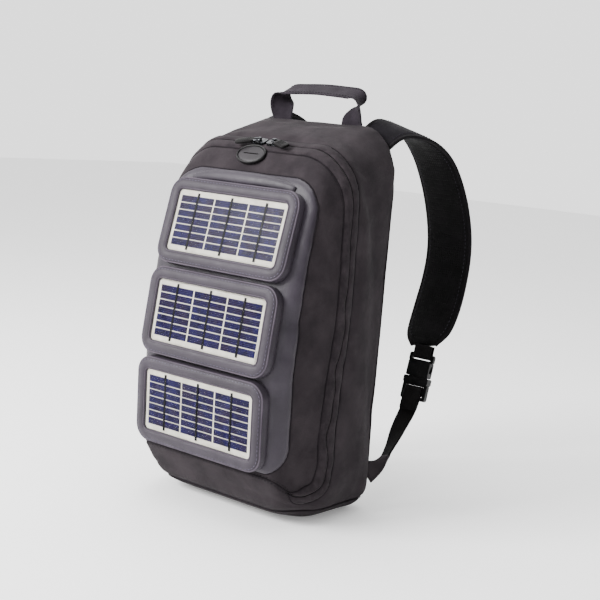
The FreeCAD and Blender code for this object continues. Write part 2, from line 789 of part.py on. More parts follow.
def zip_slider(side, sign):
    """Slider: top plate, two guides beside the coil, and the bridge that holds the pull."""
    slider = new_body(f"zipper_slider_{side}")
    pad(slider, body_sketch(slider, "XY_Plane", rectangle(19, 12, 4), 3.0), 1.6)
    for guide, depth in ((5.2, 2.0), (-5.2, 2.0)):
        pad(slider, body_sketch(slider, "XY_Plane", rectangle(15, 1.6, up=guide), 3.2 - depth),
            depth)
    pad(slider, body_sketch(slider, "XZ_Plane", rectangle(5.4, 4.6, 2, up=6.3)),
        2 * BRIDGE_HALF_WIDTH, symmetric=True)
    pocket(slider, body_sketch(slider, "XZ_Plane", rectangle(*PIN_HOLE, up=PIN_HEIGHT)))
    on_slope(slider, d.slider_middle + sign * d.slider_rest)


def zip_pull(side, sign):
    """Pull tab with a forked link and the pin through the slider's bridge."""
    pull = new_body(f"zipper_pull_{side}")
    gap = BRIDGE_HALF_WIDTH + 1.2
    arm = 1.4
    fork = rectangle(9.4, 2 * (gap + arm), across=3.5)
    pad(pull, body_sketch(pull, "XY_Plane", fork), 2.4, symmetric=True)
    slot = rectangle(6.5, 2 * gap, across=2.0)
    pocket(pull, body_sketch(pull, "XY_Plane", slot))
    pad(pull, circle_sketch(pull, "XZ_Plane", PIN_RADIUS), 2 * (gap + arm), symmetric=True)
    tab = rectangle(d.pull_length - 7, 12, 5, across=7 + (d.pull_length - 7) / 2)
    pad(pull, body_sketch(pull, "XY_Plane", tab), 3.2, symmetric=True)
    lie_on_slope(pull, sign)


def lie_on_slope(pull, sign):
    """Put a pull on its pin, turned to the front, pointing away from the bag's middle."""
    across = (d.slider_middle + sign * d.slider_rest).value
    tilt = FreeCAD.Rotation(vec(1, 0, 0), SLOPE.value)
    away = 0 if sign > 0 else 180
    turn = FreeCAD.Rotation(vec(0, 0, 1), away - sign * d.pull_turn.value)
    origin = vec(across, ZIP_TOP_Y, ZIP_TOP_Z.value)
    pull.Placement = FreeCAD.Placement(origin + tilt.multVec(vec(0, 0, PIN_HEIGHT)),
                                       tilt.multiply(turn))


BADGE_DROP = 3.0    # badge below the middle of the face between brow and cheek


def badge():
    """Plain oval badge in front of the sliders: a raised rim round a disc."""
    rim = new_body("badge_rim")
    radius = d.badge_height / 2 - 0.4
    pad(rim, body_sketch(rim, "XY_Plane", rectangle(d.badge_width, d.badge_height, radius)), 3.0)
    inner = rectangle(d.badge_width - 5, d.badge_height - 5, radius - 2.5)
    pocket(rim, body_sketch(rim, "XY_Plane", inner))
    disc = new_body("badge_disc")
    inner = rectangle(d.badge_width - 5, d.badge_height - 5, radius - 2.5)
    pad(disc, body_sketch(disc, "XY_Plane", inner), 2.2)
    cheek = steepness(d.brow_z - d.cheek_z, d.brow_y - d.cheek_y)
    cos, sin = along(cheek)
    for piece in (rim, disc):
        place(piece, d.badge_across, (d.brow_y + d.cheek_y) / 2 - BADGE_DROP * cos,
              (d.brow_z + d.cheek_z) / 2 - BADGE_DROP * sin, angle=cheek)


# Right half of the handle's middle line, from its end in the seam: how far across, behind
# the seam and above it, then the direction of the webbing's width.
HANDLE_ROUTE = [
    ((54, 0, 0), (-1, 0, 0)), ((54, 0.1, 3), (-1, 0, 0)), ((56.5, 1.0, 9), (-0.92, 0.38, 0.1)),
    ((59, 2.5, 19), (-0.5, 0.8, 0.3)), ((57.5, 3.6, 27), (-0.16, 0.88, 0.42)),
    ((50, 4, 32.5), (0, 0.9, 0.44)), ((30, 4, 34), (0, 0.9, 0.44)), ((0, 4, 35), (0, 0.9, 0.44))]


def keep_shape(label, shape):
    feature = doc.addObject("Part::Feature", label)
    feature.Shape = shape
    return keep(feature, label)


def band_section(point, direction, across, width, thickness):
    """A rectangle across a band, its width as near to the direction across as can be."""
    across = (across - direction * across.dot(direction)).normalize()
    through = direction.cross(across)
    wide, deep = across * (width / 2), through * (thickness / 2)
    return Part.makePolygon([point + wide + deep, point - wide + deep, point - wide - deep,
                             point + wide - deep, point + wide + deep])


def band_solid(stations):
    """A band through stations: point, direction of its width, width, thickness."""
    points = [station[0] for station in stations]
    sections = []
    for i, (point, across, width, thickness) in enumerate(stations):
        before, after = points[max(i - 1, 0)], points[min(i + 1, len(points) - 1)]
        direction = (after - before).normalize()
        sections.append(band_section(point, direction, across, width, thickness))
    return Part.makeLoft(sections, True, True)


def carry_handle():
    """Webbing loop sewn into the seam behind the crown, with a twist in each leg."""
    width, thick = d.handle_width.value, d.webbing_thickness.value
    foot = vec(0, d.handle_y.value, d.handle_z.value)
    right = [(foot + vec(*p), vec(*across), width, thick) for p, across in HANDLE_ROUTE]
    left = [(foot + vec(-x, y, z), vec(-a, b, c), width, thick)
            for (x, y, z), (a, b, c) in HANDLE_ROUTE]
    keep_shape("carry_handle", band_solid(left[:-1] + right[::-1]))


BACK_GAP = 0.3      # pieces sewn to the back panel stand this far off it


def handle_patches():
    """Stitched patches on the back panel, under the handle's ends."""
    patches = new_body("handle_anchor_patches", compound=True)
    patch = body_sketch(patches, "XZ_Plane", rectangle(28, 18, 3, across=-50, up=446),
                        -(d.back_y + BACK_GAP))
    left = pad(patches, patch, 1.6, backward=True)
    repeat(patches, left, patch, "H_Axis", 100, 2)


for side, sign in (("left", -1), ("right", 1)):
    zip_slider(side, sign)
    zip_pull(side, sign)
badge()
carry_handle()
handle_patches()


# ---------------------------------------------------------------- shoulder straps

# Middle line of the right strap: across, Y, Z, width, thickness, droop of its outer edge.
STRAP_ROUTE = [
    (90.5, 95.4, 450.3, 41, 3, 0.62), (90.6, 98.2, 450.9, 41, 3.6, 0.60),
    (92.0, 108.0, 459.0, 43, 7, 0.50), (94.0, 126.0, 462.0, 46, 10, 0.38),
    (97.0, 154.0, 457.0, 51, 10, 0.22), (100.0, 179.0, 445.5, 55, 10, 0.12),
    (104.0, 200.0, 427.0, 58, 10, 0.05), (107.5, 217.0, 402.0, 60, 10, 0),
    (110.5, 232.0, 370.0, 62, 10, 0),
    (112.0, 243.0, 335.0, 63, 10, 0), (112.5, 246.0, 303.0, 63, 10, 0),
    (113.0, 240.0, 270.0, 64, 10, 0), (113.5, 229.5, 241.0, 65, 10, 0),
    (114.5, 217.0, 217.5, 62, 10, 0), (116.0, 206.5, 204.0, 54, 9, 0),
    (118.5, 197.3, 193.0, 34, 7, 0)]

# Middle line of the right lower webbing, from the ladder lock down to the tab.
WEBBING_ROUTE = [
    (118.0, 177.0, 119.5, 25, 1.8, 0), (117.0, 160.0, 92.0, 25, 1.8, 0.1),
    (118.5, 145.0, 71.0, 24, 1.8, 0.35), (120.5, 132.0, 58.0, 23, 1.8, 0.7)]

# The tab that the webbing is sewn to, from the back panel outwards.
TAB_ROUTE = [(124.0, 95.9, 49.0, 24, 1.2, 1.8), (121.0, 129.0, 54.6, 22, 3, 0.8)]


def strap_solid(route, sign):
    """A band that hangs across the bag, its outer edge drooping."""
    return band_solid([(vec(sign * x, y, z), vec(sign, 0, -droop), width, thickness)
                       for x, y, z, width, thickness, droop in route])


def shoulder_strap(side, sign):
    """Padded strap from the seam at the top of the back, and the webbing below its buckle."""
    keep_shape(f"shoulder_strap_{side}", strap_solid(STRAP_ROUTE, sign))
    keep_shape(f"lower_webbing_{side}", strap_solid(WEBBING_ROUTE, sign))
    keep_shape(f"lower_tab_{side}", strap_solid(TAB_ROUTE, sign))


def strap_yoke(side, sign):
    """Reinforcement sewn to the back panel under the root of the strap."""
    yoke = new_body(f"strap_yoke_{side}")
    corners = [(62, 400), (98, 400), (106, 429), (72, 452)]
    if sign < 0:
        corners = [(-x, z) for x, z in reversed(corners)]
    pad(yoke, body_sketch(yoke, "XZ_Plane", corners, -(d.back_y + BACK_GAP)), 2.5, backward=True)


# The buckle is drawn flat: X across, Y up the strap, Z through it. Its origin is in the
# mouth of the socket.

def on_strap(obj, sign):
    place(obj, sign * d.buckle_across, d.buckle_y, d.buckle_z, angle=90 - d.buckle_lean)


CAVITY_HALF_WIDTH = 13.2
CAVITY_DEPTH = 17.0
WINDOW_FOOT, WINDOW_TOP = 6.5, 15.6
BAR_THICKNESS = 4.4
BAR_HEIGHT = 3.6
SLOT_HEIGHT = 4.4
CASE_LENGTH = 20.0


def buckle_socket(side, sign):
    """Female half: a case with a side window for each prong, and a bar for the webbing."""
    socket = new_body(f"buckle_socket_{side}")
    pad(socket, body_sketch(socket, "XY_Plane", rectangle(
        d.buckle_width - 4, CASE_LENGTH, 2, up=CASE_LENGTH / 2)), d.buckle_thickness, symmetric=True)
    frame = d.socket_length - CASE_LENGTH + 1
    pad(socket, body_sketch(socket, "XY_Plane", rectangle(
        d.buckle_width, frame, 3, up=d.socket_length - frame / 2)), BAR_THICKNESS, symmetric=True)
    slot_middle = d.socket_length - BAR_HEIGHT - SLOT_HEIGHT / 2
    pocket(socket, body_sketch(socket, "XY_Plane", rectangle(
        d.webbing_width + 1.6, SLOT_HEIGHT, up=slot_middle)))
    pocket(socket, body_sketch(socket, "XZ_Plane", rectangle(2 * CAVITY_HALF_WIDTH, 6)),
           CAVITY_DEPTH)
    window = rectangle(WINDOW_TOP - WINDOW_FOOT, 6.4, across=(WINDOW_FOOT + WINDOW_TOP) / 2)
    pocket(socket, body_sketch(socket, "YZ_Plane", window))
    on_strap(socket, sign)


def upper_webbing(side, sign):
    """Loop of webbing from the padded strap round the socket's bar."""
    webbing = new_body(f"upper_webbing_{side}")
    thick = d.webbing_thickness
    foot = d.socket_length - BAR_HEIGHT - 0.6 - thick
    end = 8.6 + d.socket_length
    half = BAR_THICKNESS / 2 + 0.4
    outside = rectangle(end - foot, 2 * (half + thick), across=(end + foot) / 2)
    pad(webbing, body_sketch(webbing, "YZ_Plane", outside), d.webbing_width, symmetric=True)
    inside = rectangle(end - foot, 2 * half, across=(end + foot) / 2 + thick)
    pocket(webbing, body_sketch(webbing, "YZ_Plane", inside))
    on_strap(webbing, sign)


def buckle_plug(side, sign):
    """Male half: shoulder, guide rib, and the ladder lock for the lower webbing."""
    plug = new_body(f"buckle_plug_{side}")
    shoulder = 9.0
    pad(plug, body_sketch(plug, "XY_Plane", rectangle(
        d.buckle_width, shoulder, 2, up=-MOTION_GAP - shoulder / 2)),
        d.buckle_thickness, symmetric=True)
    lock = d.plug_length - MOTION_GAP - shoulder
    pad(plug, body_sketch(plug, "XY_Plane", rectangle(
        d.buckle_width, lock + 1, 3, up=lock / 2 + 0.5 - d.plug_length)), 6, symmetric=True)
    pad(plug, body_sketch(plug, "XY_Plane", rectangle(6, 12, up=5.5)), 5, symmetric=True)
    for slot in (14.0, 23.0):
        pocket(plug, body_sketch(plug, "XY_Plane", rectangle(
            d.webbing_width + 1.6, 4.2, up=-slot)))
    on_strap(plug, sign)


PRONG = [(8.4, 1.2), (12.0, 1.2), (12.2, 6.8), (12.9, 7.2), (15.2, 14.6), (12.2, 15.9),
         (8.8, 15.9)]


def buckle_prong(side, sign, name, outward):
    """Sprung prong with the catch that shows in the socket's side window."""
    prong = new_body(f"buckle_prong_{side}_{name}")
    corners = PRONG if outward > 0 else [(-x, y) for x, y in reversed(PRONG)]
    pad(prong, body_sketch(prong, "XY_Plane", corners), 5.0, symmetric=True)
    on_strap(prong, sign)


for side, sign in (("left", -1), ("right", 1)):
    shoulder_strap(side, sign)
    strap_yoke(side, sign)
    buckle_socket(side, sign)
    upper_webbing(side, sign)
    buckle_plug(side, sign)
    buckle_prong(side, sign, "outer", sign)
    buckle_prong(side, sign, "inner", -sign)


# ---------------------------------------------------------------- back and inside

def back_pad():
    """Two foam pads on the back panel, either side of the spine."""
    pads = new_body("back_pad", compound=True)
    column = body_sketch(pads, "XZ_Plane", rectangle(72, 330, 16, across=-50, up=232),
                         -(d.back_y + BACK_GAP))
    left = pad(pads, column, 8, backward=True)
    repeat(pads, left, column, "H_Axis", 100, 2)


def base_stiffener():
    """Plate that keeps the base flat."""
    rounded_case("base_stiffener", (-82, 82), (-4, 72), (3.6, 6.6), 12)


def laptop_sleeve():
    """Pouch against the back wall, open at the top."""
    wall, back = 3.0, d.back_y - d.shell_wall - 0.4
    outside = box("sleeve_outside", (-108, 108), (back - 26, back), (20, 305))
    inside = box("sleeve_inside", (wall - 108, 108 - wall), (back - 26 + wall, back + 1),
                 (20 + wall, 306))
    keep(combine("Cut", "laptop_sleeve", outside, inside), "laptop_sleeve")


back_pad()
base_stiffener()
laptop_sleeve()


# ---------------------------------------------------------------- check and write

def check_and_write():
    doc.recompute()
    failed = [obj.Label for obj in doc.Objects if {"Invalid", "Error"} & set(obj.State)]
    if failed:
        raise RuntimeError(f"failed objects: {failed}")
    os.makedirs("parts", exist_ok=True)
    for node in nodes:
        shape = node.Shape
        if shape.isNull() or not shape.isValid() or not shape.Solids:
            raise RuntimeError(f"{node.Label} isn't a valid solid")
        shape.exportStep(f"parts/{node.Label}.step")
    print(f"{len(nodes)} sub-parts written")


check_and_write()
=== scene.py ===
"""Looks of the solar backpack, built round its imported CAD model. Lengths are millimetres here."""
import json
import math

import bpy
import numpy as np
from mathutils import Matrix, Vector, noise
from mathutils.bvhtree import BVHTree

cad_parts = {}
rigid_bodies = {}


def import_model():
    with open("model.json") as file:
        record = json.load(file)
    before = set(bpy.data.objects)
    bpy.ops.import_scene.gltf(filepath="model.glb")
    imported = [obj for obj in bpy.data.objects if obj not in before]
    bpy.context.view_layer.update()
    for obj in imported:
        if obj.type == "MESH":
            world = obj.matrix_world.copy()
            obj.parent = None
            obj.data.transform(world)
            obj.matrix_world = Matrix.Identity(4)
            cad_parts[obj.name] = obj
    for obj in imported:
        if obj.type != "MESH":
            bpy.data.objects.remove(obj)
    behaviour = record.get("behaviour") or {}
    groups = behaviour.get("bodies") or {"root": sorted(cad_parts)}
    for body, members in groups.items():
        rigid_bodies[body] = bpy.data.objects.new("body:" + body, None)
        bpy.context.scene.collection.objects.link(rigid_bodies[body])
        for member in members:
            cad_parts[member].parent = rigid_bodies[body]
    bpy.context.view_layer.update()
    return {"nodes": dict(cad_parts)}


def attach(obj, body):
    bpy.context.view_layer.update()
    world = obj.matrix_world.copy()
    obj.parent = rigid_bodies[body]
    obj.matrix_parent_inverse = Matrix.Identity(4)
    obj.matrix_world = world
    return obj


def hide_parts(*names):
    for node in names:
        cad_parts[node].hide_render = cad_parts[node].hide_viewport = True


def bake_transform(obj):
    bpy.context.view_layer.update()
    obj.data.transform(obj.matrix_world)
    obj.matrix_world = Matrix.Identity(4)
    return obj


for leftover in list(bpy.data.objects):
    bpy.data.objects.remove(leftover)
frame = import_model()
MM = 0.001
SIDES = (("left", -1), ("right", 1))


# ---------------------------------------------------------------- materials

class Shader:
    """A Principled material with small helpers to wire procedural nodes."""

    def __init__(self, name, **constants):
        self.material = bpy.data.materials.new(name)
        self.material.use_nodes = True
        self.tree = self.material.node_tree
        self.principled = self.tree.nodes["Principled BSDF"]
        for socket, value in constants.items():
            self.principled.inputs[socket.replace("_", " ")].default_value = value
        self.place = self.node("ShaderNodeTexCoord").outputs["Object"]

    def node(self, kind, inputs=None, **settings):
        made = self.tree.nodes.new(kind)
        for key, value in settings.items():
            setattr(made, key, value)
        for key, value in (inputs or {}).items():
            self.feed(value, made.inputs[key])
        return made

    def feed(self, value, socket):
        if isinstance(value, bpy.types.NodeSocket):
            self.tree.links.new(value, socket)
        else:
            socket.default_value = value

    def math(self, operation, *values):
        made = self.node("ShaderNodeMath", operation=operation)
        for i, value in enumerate(values):
            self.feed(value, made.inputs[i])
        return made.outputs[0]

    def noise(self, size, detail=3.0, where=None, rough=0.55):
        """Noise whose blobs are about this many millimetres across."""
        made = self.node("ShaderNodeTexNoise", {"Scale": 1.0 / (size * MM), "Detail": detail,
                                                "Roughness": rough,
                                                "Vector": where or self.place})
        return made.outputs["Fac"]

    def spread(self, value, low, high, to_low=0.0, to_high=1.0):
        made = self.node("ShaderNodeMapRange", {"Value": value, "From Min": low, "From Max": high,
                                                "To Min": to_low, "To Max": to_high})
        return made.outputs["Result"]

    def blend(self, factor, first, second, kind="MIX"):
        made = self.node("ShaderNodeMix", data_type="RGBA", blend_type=kind)
        for socket, value in ((0, factor), (6, first), (7, second)):
            self.feed(value, made.inputs[socket])
        return made.outputs[2]

    def colour(self, value):
        self.feed(value, self.principled.inputs["Base Color"])

    def roughness(self, value):
        self.feed(value, self.principled.inputs["Roughness"])

    def bump(self, *layers):
        """Layers of (height 0..1, depth in mm), finest last."""
        normal = None
        for height, depth in layers:
            made = self.node("ShaderNodeBump", {"Strength": 1.0, "Distance": depth * MM,
                                                "Height": height})
            if normal is not None:
                self.feed(normal, made.inputs["Normal"])
            normal = made.outputs["Normal"]
        self.feed(normal, self.principled.inputs["Normal"])


def rgb(text):
    """Linear colour of a hexadecimal sRGB one."""
    values = [int(text[i:i + 2], 16) / 255 for i in (0, 2, 4)]
    return tuple(v / 12.92 if v < 0.04045 else ((v + 0.055) / 1.055) ** 2.4 for v in values) + (1,)


def woven(name, dark, light, pitch=1.1, rough=0.82, sheen=0.03, depth=0.12, mottle=34,
          along=None, **constants):
    """Cloth: mottled colour, a weave that follows the surface, fuzz and soft sheen."""
    constants.setdefault("Specular_IOR_Level", 0.06)
    s = Shader(name, Sheen_Weight=sheen, Sheen_Roughness=0.45, **constants)
    if along:
        s.place = s.node("ShaderNodeAttribute", attribute_name=along).outputs["Vector"]
    part = s.node("ShaderNodeSeparateXYZ", {0: s.place}).outputs
    wave = 2 * math.pi / (pitch * MM)
    if along:
        flat, rise = part[0], part[1]
    else:
        flat = s.math("ADD", part[0], part[1])
        lean = s.math("MULTIPLY", s.math("SUBTRACT", part[0], part[1]), 0.35)
        rise = s.math("ADD", part[2], lean)
    warp = s.math("SINE", s.math("MULTIPLY", flat, wave))
    weft = s.math("SINE", s.math("MULTIPLY", rise, wave))
    weave = s.spread(s.math("MULTIPLY", warp, weft), -1, 1)
    fuzz = s.noise(1.6, 4)
    cloud = s.spread(s.noise(mottle, 5), 0.32, 0.68)
    base = s.blend(cloud, rgb(dark), rgb(light))
    shade = s.spread(s.math("ADD", s.math("MULTIPLY", weave, 0.45),
                            s.math("MULTIPLY", fuzz, 0.8)), 0.2, 1.0, 0.8, 1.2)
    s.colour(s.blend(1.0, base, s.node("ShaderNodeCombineColor", {
        0: shade, 1: shade, 2: shade}).outputs[0], "MULTIPLY"))
    s.roughness(s.spread(s.noise(9, 3), 0.3, 0.7, rough - 0.08, min(rough + 0.07, 1.0)))
    s.bump((s.noise(12, 3), 0.5), (weave, depth), (fuzz, depth * 0.8))
    return s.material


def mesh_cloth(name, dark, light, pitch=3.0):
    """Spacer mesh: rows of small holes over a darker foam."""
    s = Shader(name, Sheen_Weight=0.03, Sheen_Roughness=0.4, Specular_IOR_Level=0.1)
    cells = s.node("ShaderNodeTexVoronoi", {"Scale": 1 / (pitch * MM), "Vector": s.place,
                                            "Randomness": 0.25})
    hole = s.spread(cells.outputs["Distance"], 0.18, 0.42)
    cloud = s.spread(s.noise(26, 4), 0.3, 0.7)
    s.colour(s.blend(hole, rgb(dark), s.blend(cloud, rgb(light), rgb(dark))))
    s.roughness(s.spread(s.noise(8), 0.3, 0.7, 0.78, 0.95))
    s.bump((s.noise(14), 0.4), (hole, 0.45), (s.noise(1.2), 0.1))
    return s.material


def moulded(name, dark, light, rough=0.42, grain=0.7, depth=0.04, wear="8a8a8c", **constants):
    """Moulded plastic or rubber: fine grain, scuffed and lighter along its edges."""
    constants.setdefault("Specular_IOR_Level", 0.35)
    s = Shader(name, **constants)
    cloud = s.spread(s.noise(18, 4), 0.35, 0.65)
    scuff = s.spread(s.noise(3.2, 6, rough=0.7), 0.5, 0.75)
    edge = s.spread(s.node("ShaderNodeNewGeometry").outputs["Pointiness"], 0.52, 0.6)
    s.colour(s.blend(s.math("MULTIPLY", s.math("MULTIPLY", edge, scuff), 0.35),
                     s.blend(cloud, rgb(dark), rgb(light)), rgb(wear)))
    s.roughness(s.math("ADD", s.spread(s.noise(6), 0.3, 0.7, rough - 0.06, rough + 0.08),
                       s.math("MULTIPLY", scuff, 0.08)))
    s.bump((s.noise(grain, 2), depth))
    return s.material


def metal(name, dark, light, rough=0.3, brushed=0.5):
    """Cast or brushed metal with fine scratches and a mottled tone."""
    s = Shader(name, Metallic=1.0)
    streak = s.node("ShaderNodeMapping", {"Vector": s.place, "Scale": (1, 1, 14)}).outputs[0]
    scratch = s.noise(2.5, 4, where=streak)
    s.colour(s.blend(s.spread(s.noise(4, 3), 0.3, 0.7), rgb(dark), rgb(light)))
    s.roughness(s.spread(scratch, 0.3, 0.7, rough - 0.1, rough + 0.15))
    s.bump((scratch, 0.02 * brushed), (s.noise(0.8, 2), 0.015))
    return s.material


def silicon():
    """Polycrystalline cells: blue and violet crystal facets under a coat."""
    s = Shader("polycrystalline_silicon", Specular_IOR_Level=0.08)
    facets = s.node("ShaderNodeTexVoronoi", {"Scale": 190, "Vector": s.place})
    part = s.node("ShaderNodeSeparateColor", {0: facets.outputs["Color"]}).outputs
    tone = s.blend(part[0], rgb("070515"), rgb("110d38"))
    tint = s.blend(s.spread(s.noise(22, 3), 0.45, 0.66), tone, rgb("170c1a"))
    s.colour(tint)
    s.roughness(s.spread(part[1], 0, 1, 0.25, 0.42))
    s.bump((part[2], 0.015), (s.noise(0.6), 0.01))
    return s.material


def glazing():
    """Clear front sheet: mostly seen through, with a faint haze."""
    s = Shader("clear_sheet", Alpha=0.03, IOR=1.4, Specular_IOR_Level=0.2)
    s.colour(s.blend(s.noise(40), rgb("15161c"), rgb("202129")))
    s.roughness(s.spread(s.noise(3, 4), 0.3, 0.7, 0.12, 0.25))
    s.bump((s.noise(25, 2), 0.05))
    return s.material


canvas = woven("canvas", "211d20", "2f2a2d", rough=0.84)
canvas_tape = woven("canvas_tape", "211d20", "302b2e", pitch=1.5, rough=0.86, depth=0.2, mottle=12)
flap_cloth = woven("flap_cloth", "211c24", "2c262f", pitch=0.8, rough=0.46, depth=0.05, mottle=60,
                   Specular_IOR_Level=0.28)
frame_cloth = woven("frame_cloth", "241f26", "2f2932", pitch=0.8, rough=0.5, depth=0.06, mottle=45,
                    Specular_IOR_Level=0.25)
# Darker than the canvas: painted shade for the shadow lines along the seams, round the flap's edge
# and at the zip tape's edges.
painted_shade_seam_cloth = woven("painted_shade_seam_cloth", "181518", "221e21", pitch=0.9, rough=0.9, sheen=0.0)
# Lighter than the frame cloth: the frames' piping, and on the thin ridge by each window a painted
# highlight on the bevel.
piping_and_highlight_cloth = woven("piping_and_highlight_cloth", "37303a", "4a424c", pitch=0.8, rough=0.5,
                     Specular_IOR_Level=0.2)
thread = woven("thread", "0c0a0e", "151318", pitch=0.5, rough=0.7)
pale_thread = woven("pale_thread", "26232a", "35323a", pitch=0.5, rough=0.7)
frame_thread = woven("frame_thread", "4a4555", "625c6c", pitch=0.5, rough=0.6)
lining = woven("lining", "23262b", "2f3239", pitch=1.0, rough=0.6, depth=0.08)
grey_webbing = woven("grey_webbing", "1d191e", "2b262c", pitch=1.7, rough=0.8, depth=0.3,
                     mottle=18, along="weave")
black_webbing = woven("black_webbing", "060505", "0c0a0b", pitch=1.7, rough=0.75, depth=0.3,
                      mottle=18, along="weave")
strap_cloth = woven("strap_cloth", "0e0c0f", "18151a", rough=0.8)
black_binding = woven("black_binding", "0a080a", "131113", pitch=1.2, rough=0.75)
spacer_mesh = mesh_cloth("spacer_mesh", "040404", "0c0a0c")
back_mesh = mesh_cloth("back_mesh", "060506", "131113")
black_plastic = moulded("black_plastic", "050505", "0a0a0b", rough=0.35, wear="343436",
                        Specular_IOR_Level=0.25)
case_plastic = moulded("case_plastic", "121315", "16171a", rough=0.5, depth=0.02, wear="26272a")
battery_plastic = moulded("battery_plastic", "17181c", "1b1d21", rough=0.45, depth=0.02,
                          wear="2c2d31")
board_plastic = moulded("board_plastic", "35373a", "44474b", rough=0.6)
cable_rubber = moulded("cable_rubber", "080808", "101011", rough=0.55)
pull_rubber = moulded("pull_rubber", "040303", "090708", rough=0.5, grain=0.5, wear="2a2828",
                      Specular_IOR_Level=0.1)
badge_rubber = moulded("badge_rubber", "060506", "0c0a0b", rough=0.45, grain=0.5, wear="3a383a",
                       Specular_IOR_Level=0.25)
badge_face = moulded("badge_face", "161316", "211d21", rough=0.5, grain=0.9, depth=0.08,
                     Specular_IOR_Level=0.3)
nylon_coil = moulded("nylon_coil", "060606", "0e0e10", rough=0.35)
slider_metal = metal("slider_metal", "0c0c0d", "6b6c70", rough=0.25)
ribbon_metal = moulded("ribbon_metal", "020203", "060508", rough=0.5, grain=1.4, wear="16141c",
                       Specular_IOR_Level=0.1)
finger_metal = moulded("finger_metal", "221e3e", "302b50", rough=0.5, wear="4c4868",
                       Specular_IOR_Level=0.1)
backsheet = moulded("backsheet", "b4b0a4", "cac6bb", rough=0.5, grain=0.8, depth=0.02,
                    wear="e0ddd0", Specular_IOR_Level=0.2)
cell_silicon = silicon()
clear_sheet = glazing()


# ---------------------------------------------------------------- meshes

class Build:
    """Vertices and faces of one piece, gathered part by part."""

    def __init__(self):
        self.points, self.faces, self.slots, self.weave = [], [], [], []

    def add(self, points, faces, slot=0, weave=None):
        base = len(self.points)
        self.points.extend(tuple(p[:3]) for p in points)
        self.faces.extend(tuple(base + i for i in face) for face in faces)
        self.slots.extend([slot] * len(faces))
        self.weave.extend(weave if weave is not None else [(0, 0, 0)] * len(points))
        return self

    def piece(self, name, body, materials, slot_name=None, replaces=(), modifiers=(), crease=None):
        mesh = bpy.data.meshes.new(name)
        mesh.from_pydata([tuple(c * MM for c in p) for p in self.points], [], self.faces)
        for material in materials:
            mesh.materials.append(material)
        mesh.polygons.foreach_set("material_index", self.slots)
        mesh.polygons.foreach_set("use_smooth", [True] * len(self.faces))
        if any(any(w) for w in self.weave):
            layer = mesh.attributes.new("weave", "FLOAT_VECTOR", "POINT")
            layer.data.foreach_set("vector", [c * MM for w in self.weave for c in w])
        if crease is not None:
            mesh.set_sharp_from_angle(angle=math.radians(crease))
        mesh.update()
        made = bpy.data.objects.new(name, mesh)
        bpy.context.scene.collection.objects.link(made)
        add_modifiers(made, modifiers)
        if body:
            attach(made, body)
        if replaces:
            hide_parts(*replaces)
        return made


def add_modifiers(made, modifiers):
    """Add (kind, settings) modifiers to an object."""
    for kind, settings in modifiers:
        modifier = made.modifiers.new(kind.lower(), kind)
        for key, value in settings.items():
            setattr(modifier, key, value)


def grid(rows, columns, closed=False, ring=False, flip=False):
    """Faces of a grid of points; closed joins its last row to the first, ring its columns."""
    faces = []
    for r in range(rows if closed else rows - 1):
        for c in range(columns if ring else columns - 1):
            up, on = (r + 1) % rows * columns, (c + 1) % columns
            face = (r * columns + c, r * columns + on, up + on, up + c)
            faces.append((face[0], face[3], face[2], face[1]) if flip else face)
    return faces


def unit(v):
    """The same vector at length 1."""
    v = np.asarray(v, float)
    return v / max(np.linalg.norm(v), 1e-12)


def through_points(rows, step):
    """Catmull-Rom curve through rows of numbers; the first three are a point."""
    rows = np.asarray(rows, float)
    padded = np.vstack([2 * rows[0] - rows[1], rows, 2 * rows[-1] - rows[-2]])
    made = []
    for i in range(1, len(padded) - 2):
        a, b, c, e = padded[i - 1:i + 3]
        count = max(2, int(np.linalg.norm(c[:3] - b[:3]) / step))
        for t in np.arange(count) / count:
            made.append(0.5 * (2 * b + (c - a) * t + (2 * a - 5 * b + 4 * c - e) * t * t
                               + (3 * b - a - 3 * c + e) * t ** 3))
    made.append(rows[-1])
    return np.array(made)


def resample(path, step, closed=False):
    """The same path with even spacing; further columns are carried along."""
    path = np.asarray(path, float)
    if closed:
        path = np.vstack([path, path[:1]])
    run = runs(path)
    count = max(2, int(round(run[-1] / step)))
    at = np.linspace(0, run[-1], count + 1)
    made = np.stack([np.interp(at, run, path[:, k]) for k in range(path.shape[1])], axis=1)
    return made[:-1] if closed else made


def tangents(path, closed=False):
    """Direction of a path at each of its points."""
    points = path[:, :3]
    if closed:
        steps = np.roll(points, -1, 0) - np.roll(points, 1, 0)
    else:
        steps = np.gradient(points, axis=0)
    return steps / np.maximum(np.linalg.norm(steps, axis=1, keepdims=True), 1e-9)


def band_axes(path, across, closed=False):
    """Directions of a band's width and of its face at each point of its path."""
    along = tangents(path, closed)
    side = np.array([unit(a - d * np.dot(a, d)) for a, d in zip(across, along)])
    return side, np.cross(along, side)


def runs(path):
    """Distance along a path at each of its points."""
    gaps = np.linalg.norm(np.diff(path[:, :3], axis=0), axis=1)
    return np.concatenate([[0], np.cumsum(gaps)])


def sweep(build, path, across, outline, slot=0, closed=False, slots=None):
    """Sweep outlines along a path. outline(i) gives (across, out) pairs at path point i."""
    points, weave, size = [], [], len(outline(0))
    sides, outs = band_axes(path, across, closed)
    for i, run in enumerate(runs(path)):
        for a, o in outline(i):
            points.append(path[i, :3] + sides[i] * a + outs[i] * o)
            weave.append((run, a, o))
    faces = grid(len(path), size, closed, ring=True)
    if not closed:
        faces.append(tuple(range(size))[::-1])
        faces.append(tuple(range(len(points) - size, len(points))))
    build.add(points, faces, slot, weave)
    if slots:
        for n in range(len(faces)):
            build.slots[len(build.slots) - len(faces) + n] = slots(n % size)
    return build


def ellipse(width, height, count=10):
    """Points round an ellipse."""
    return [(width / 2 * math.cos(2 * math.pi * k / count),
             height / 2 * math.sin(2 * math.pi * k / count)) for k in range(count)]


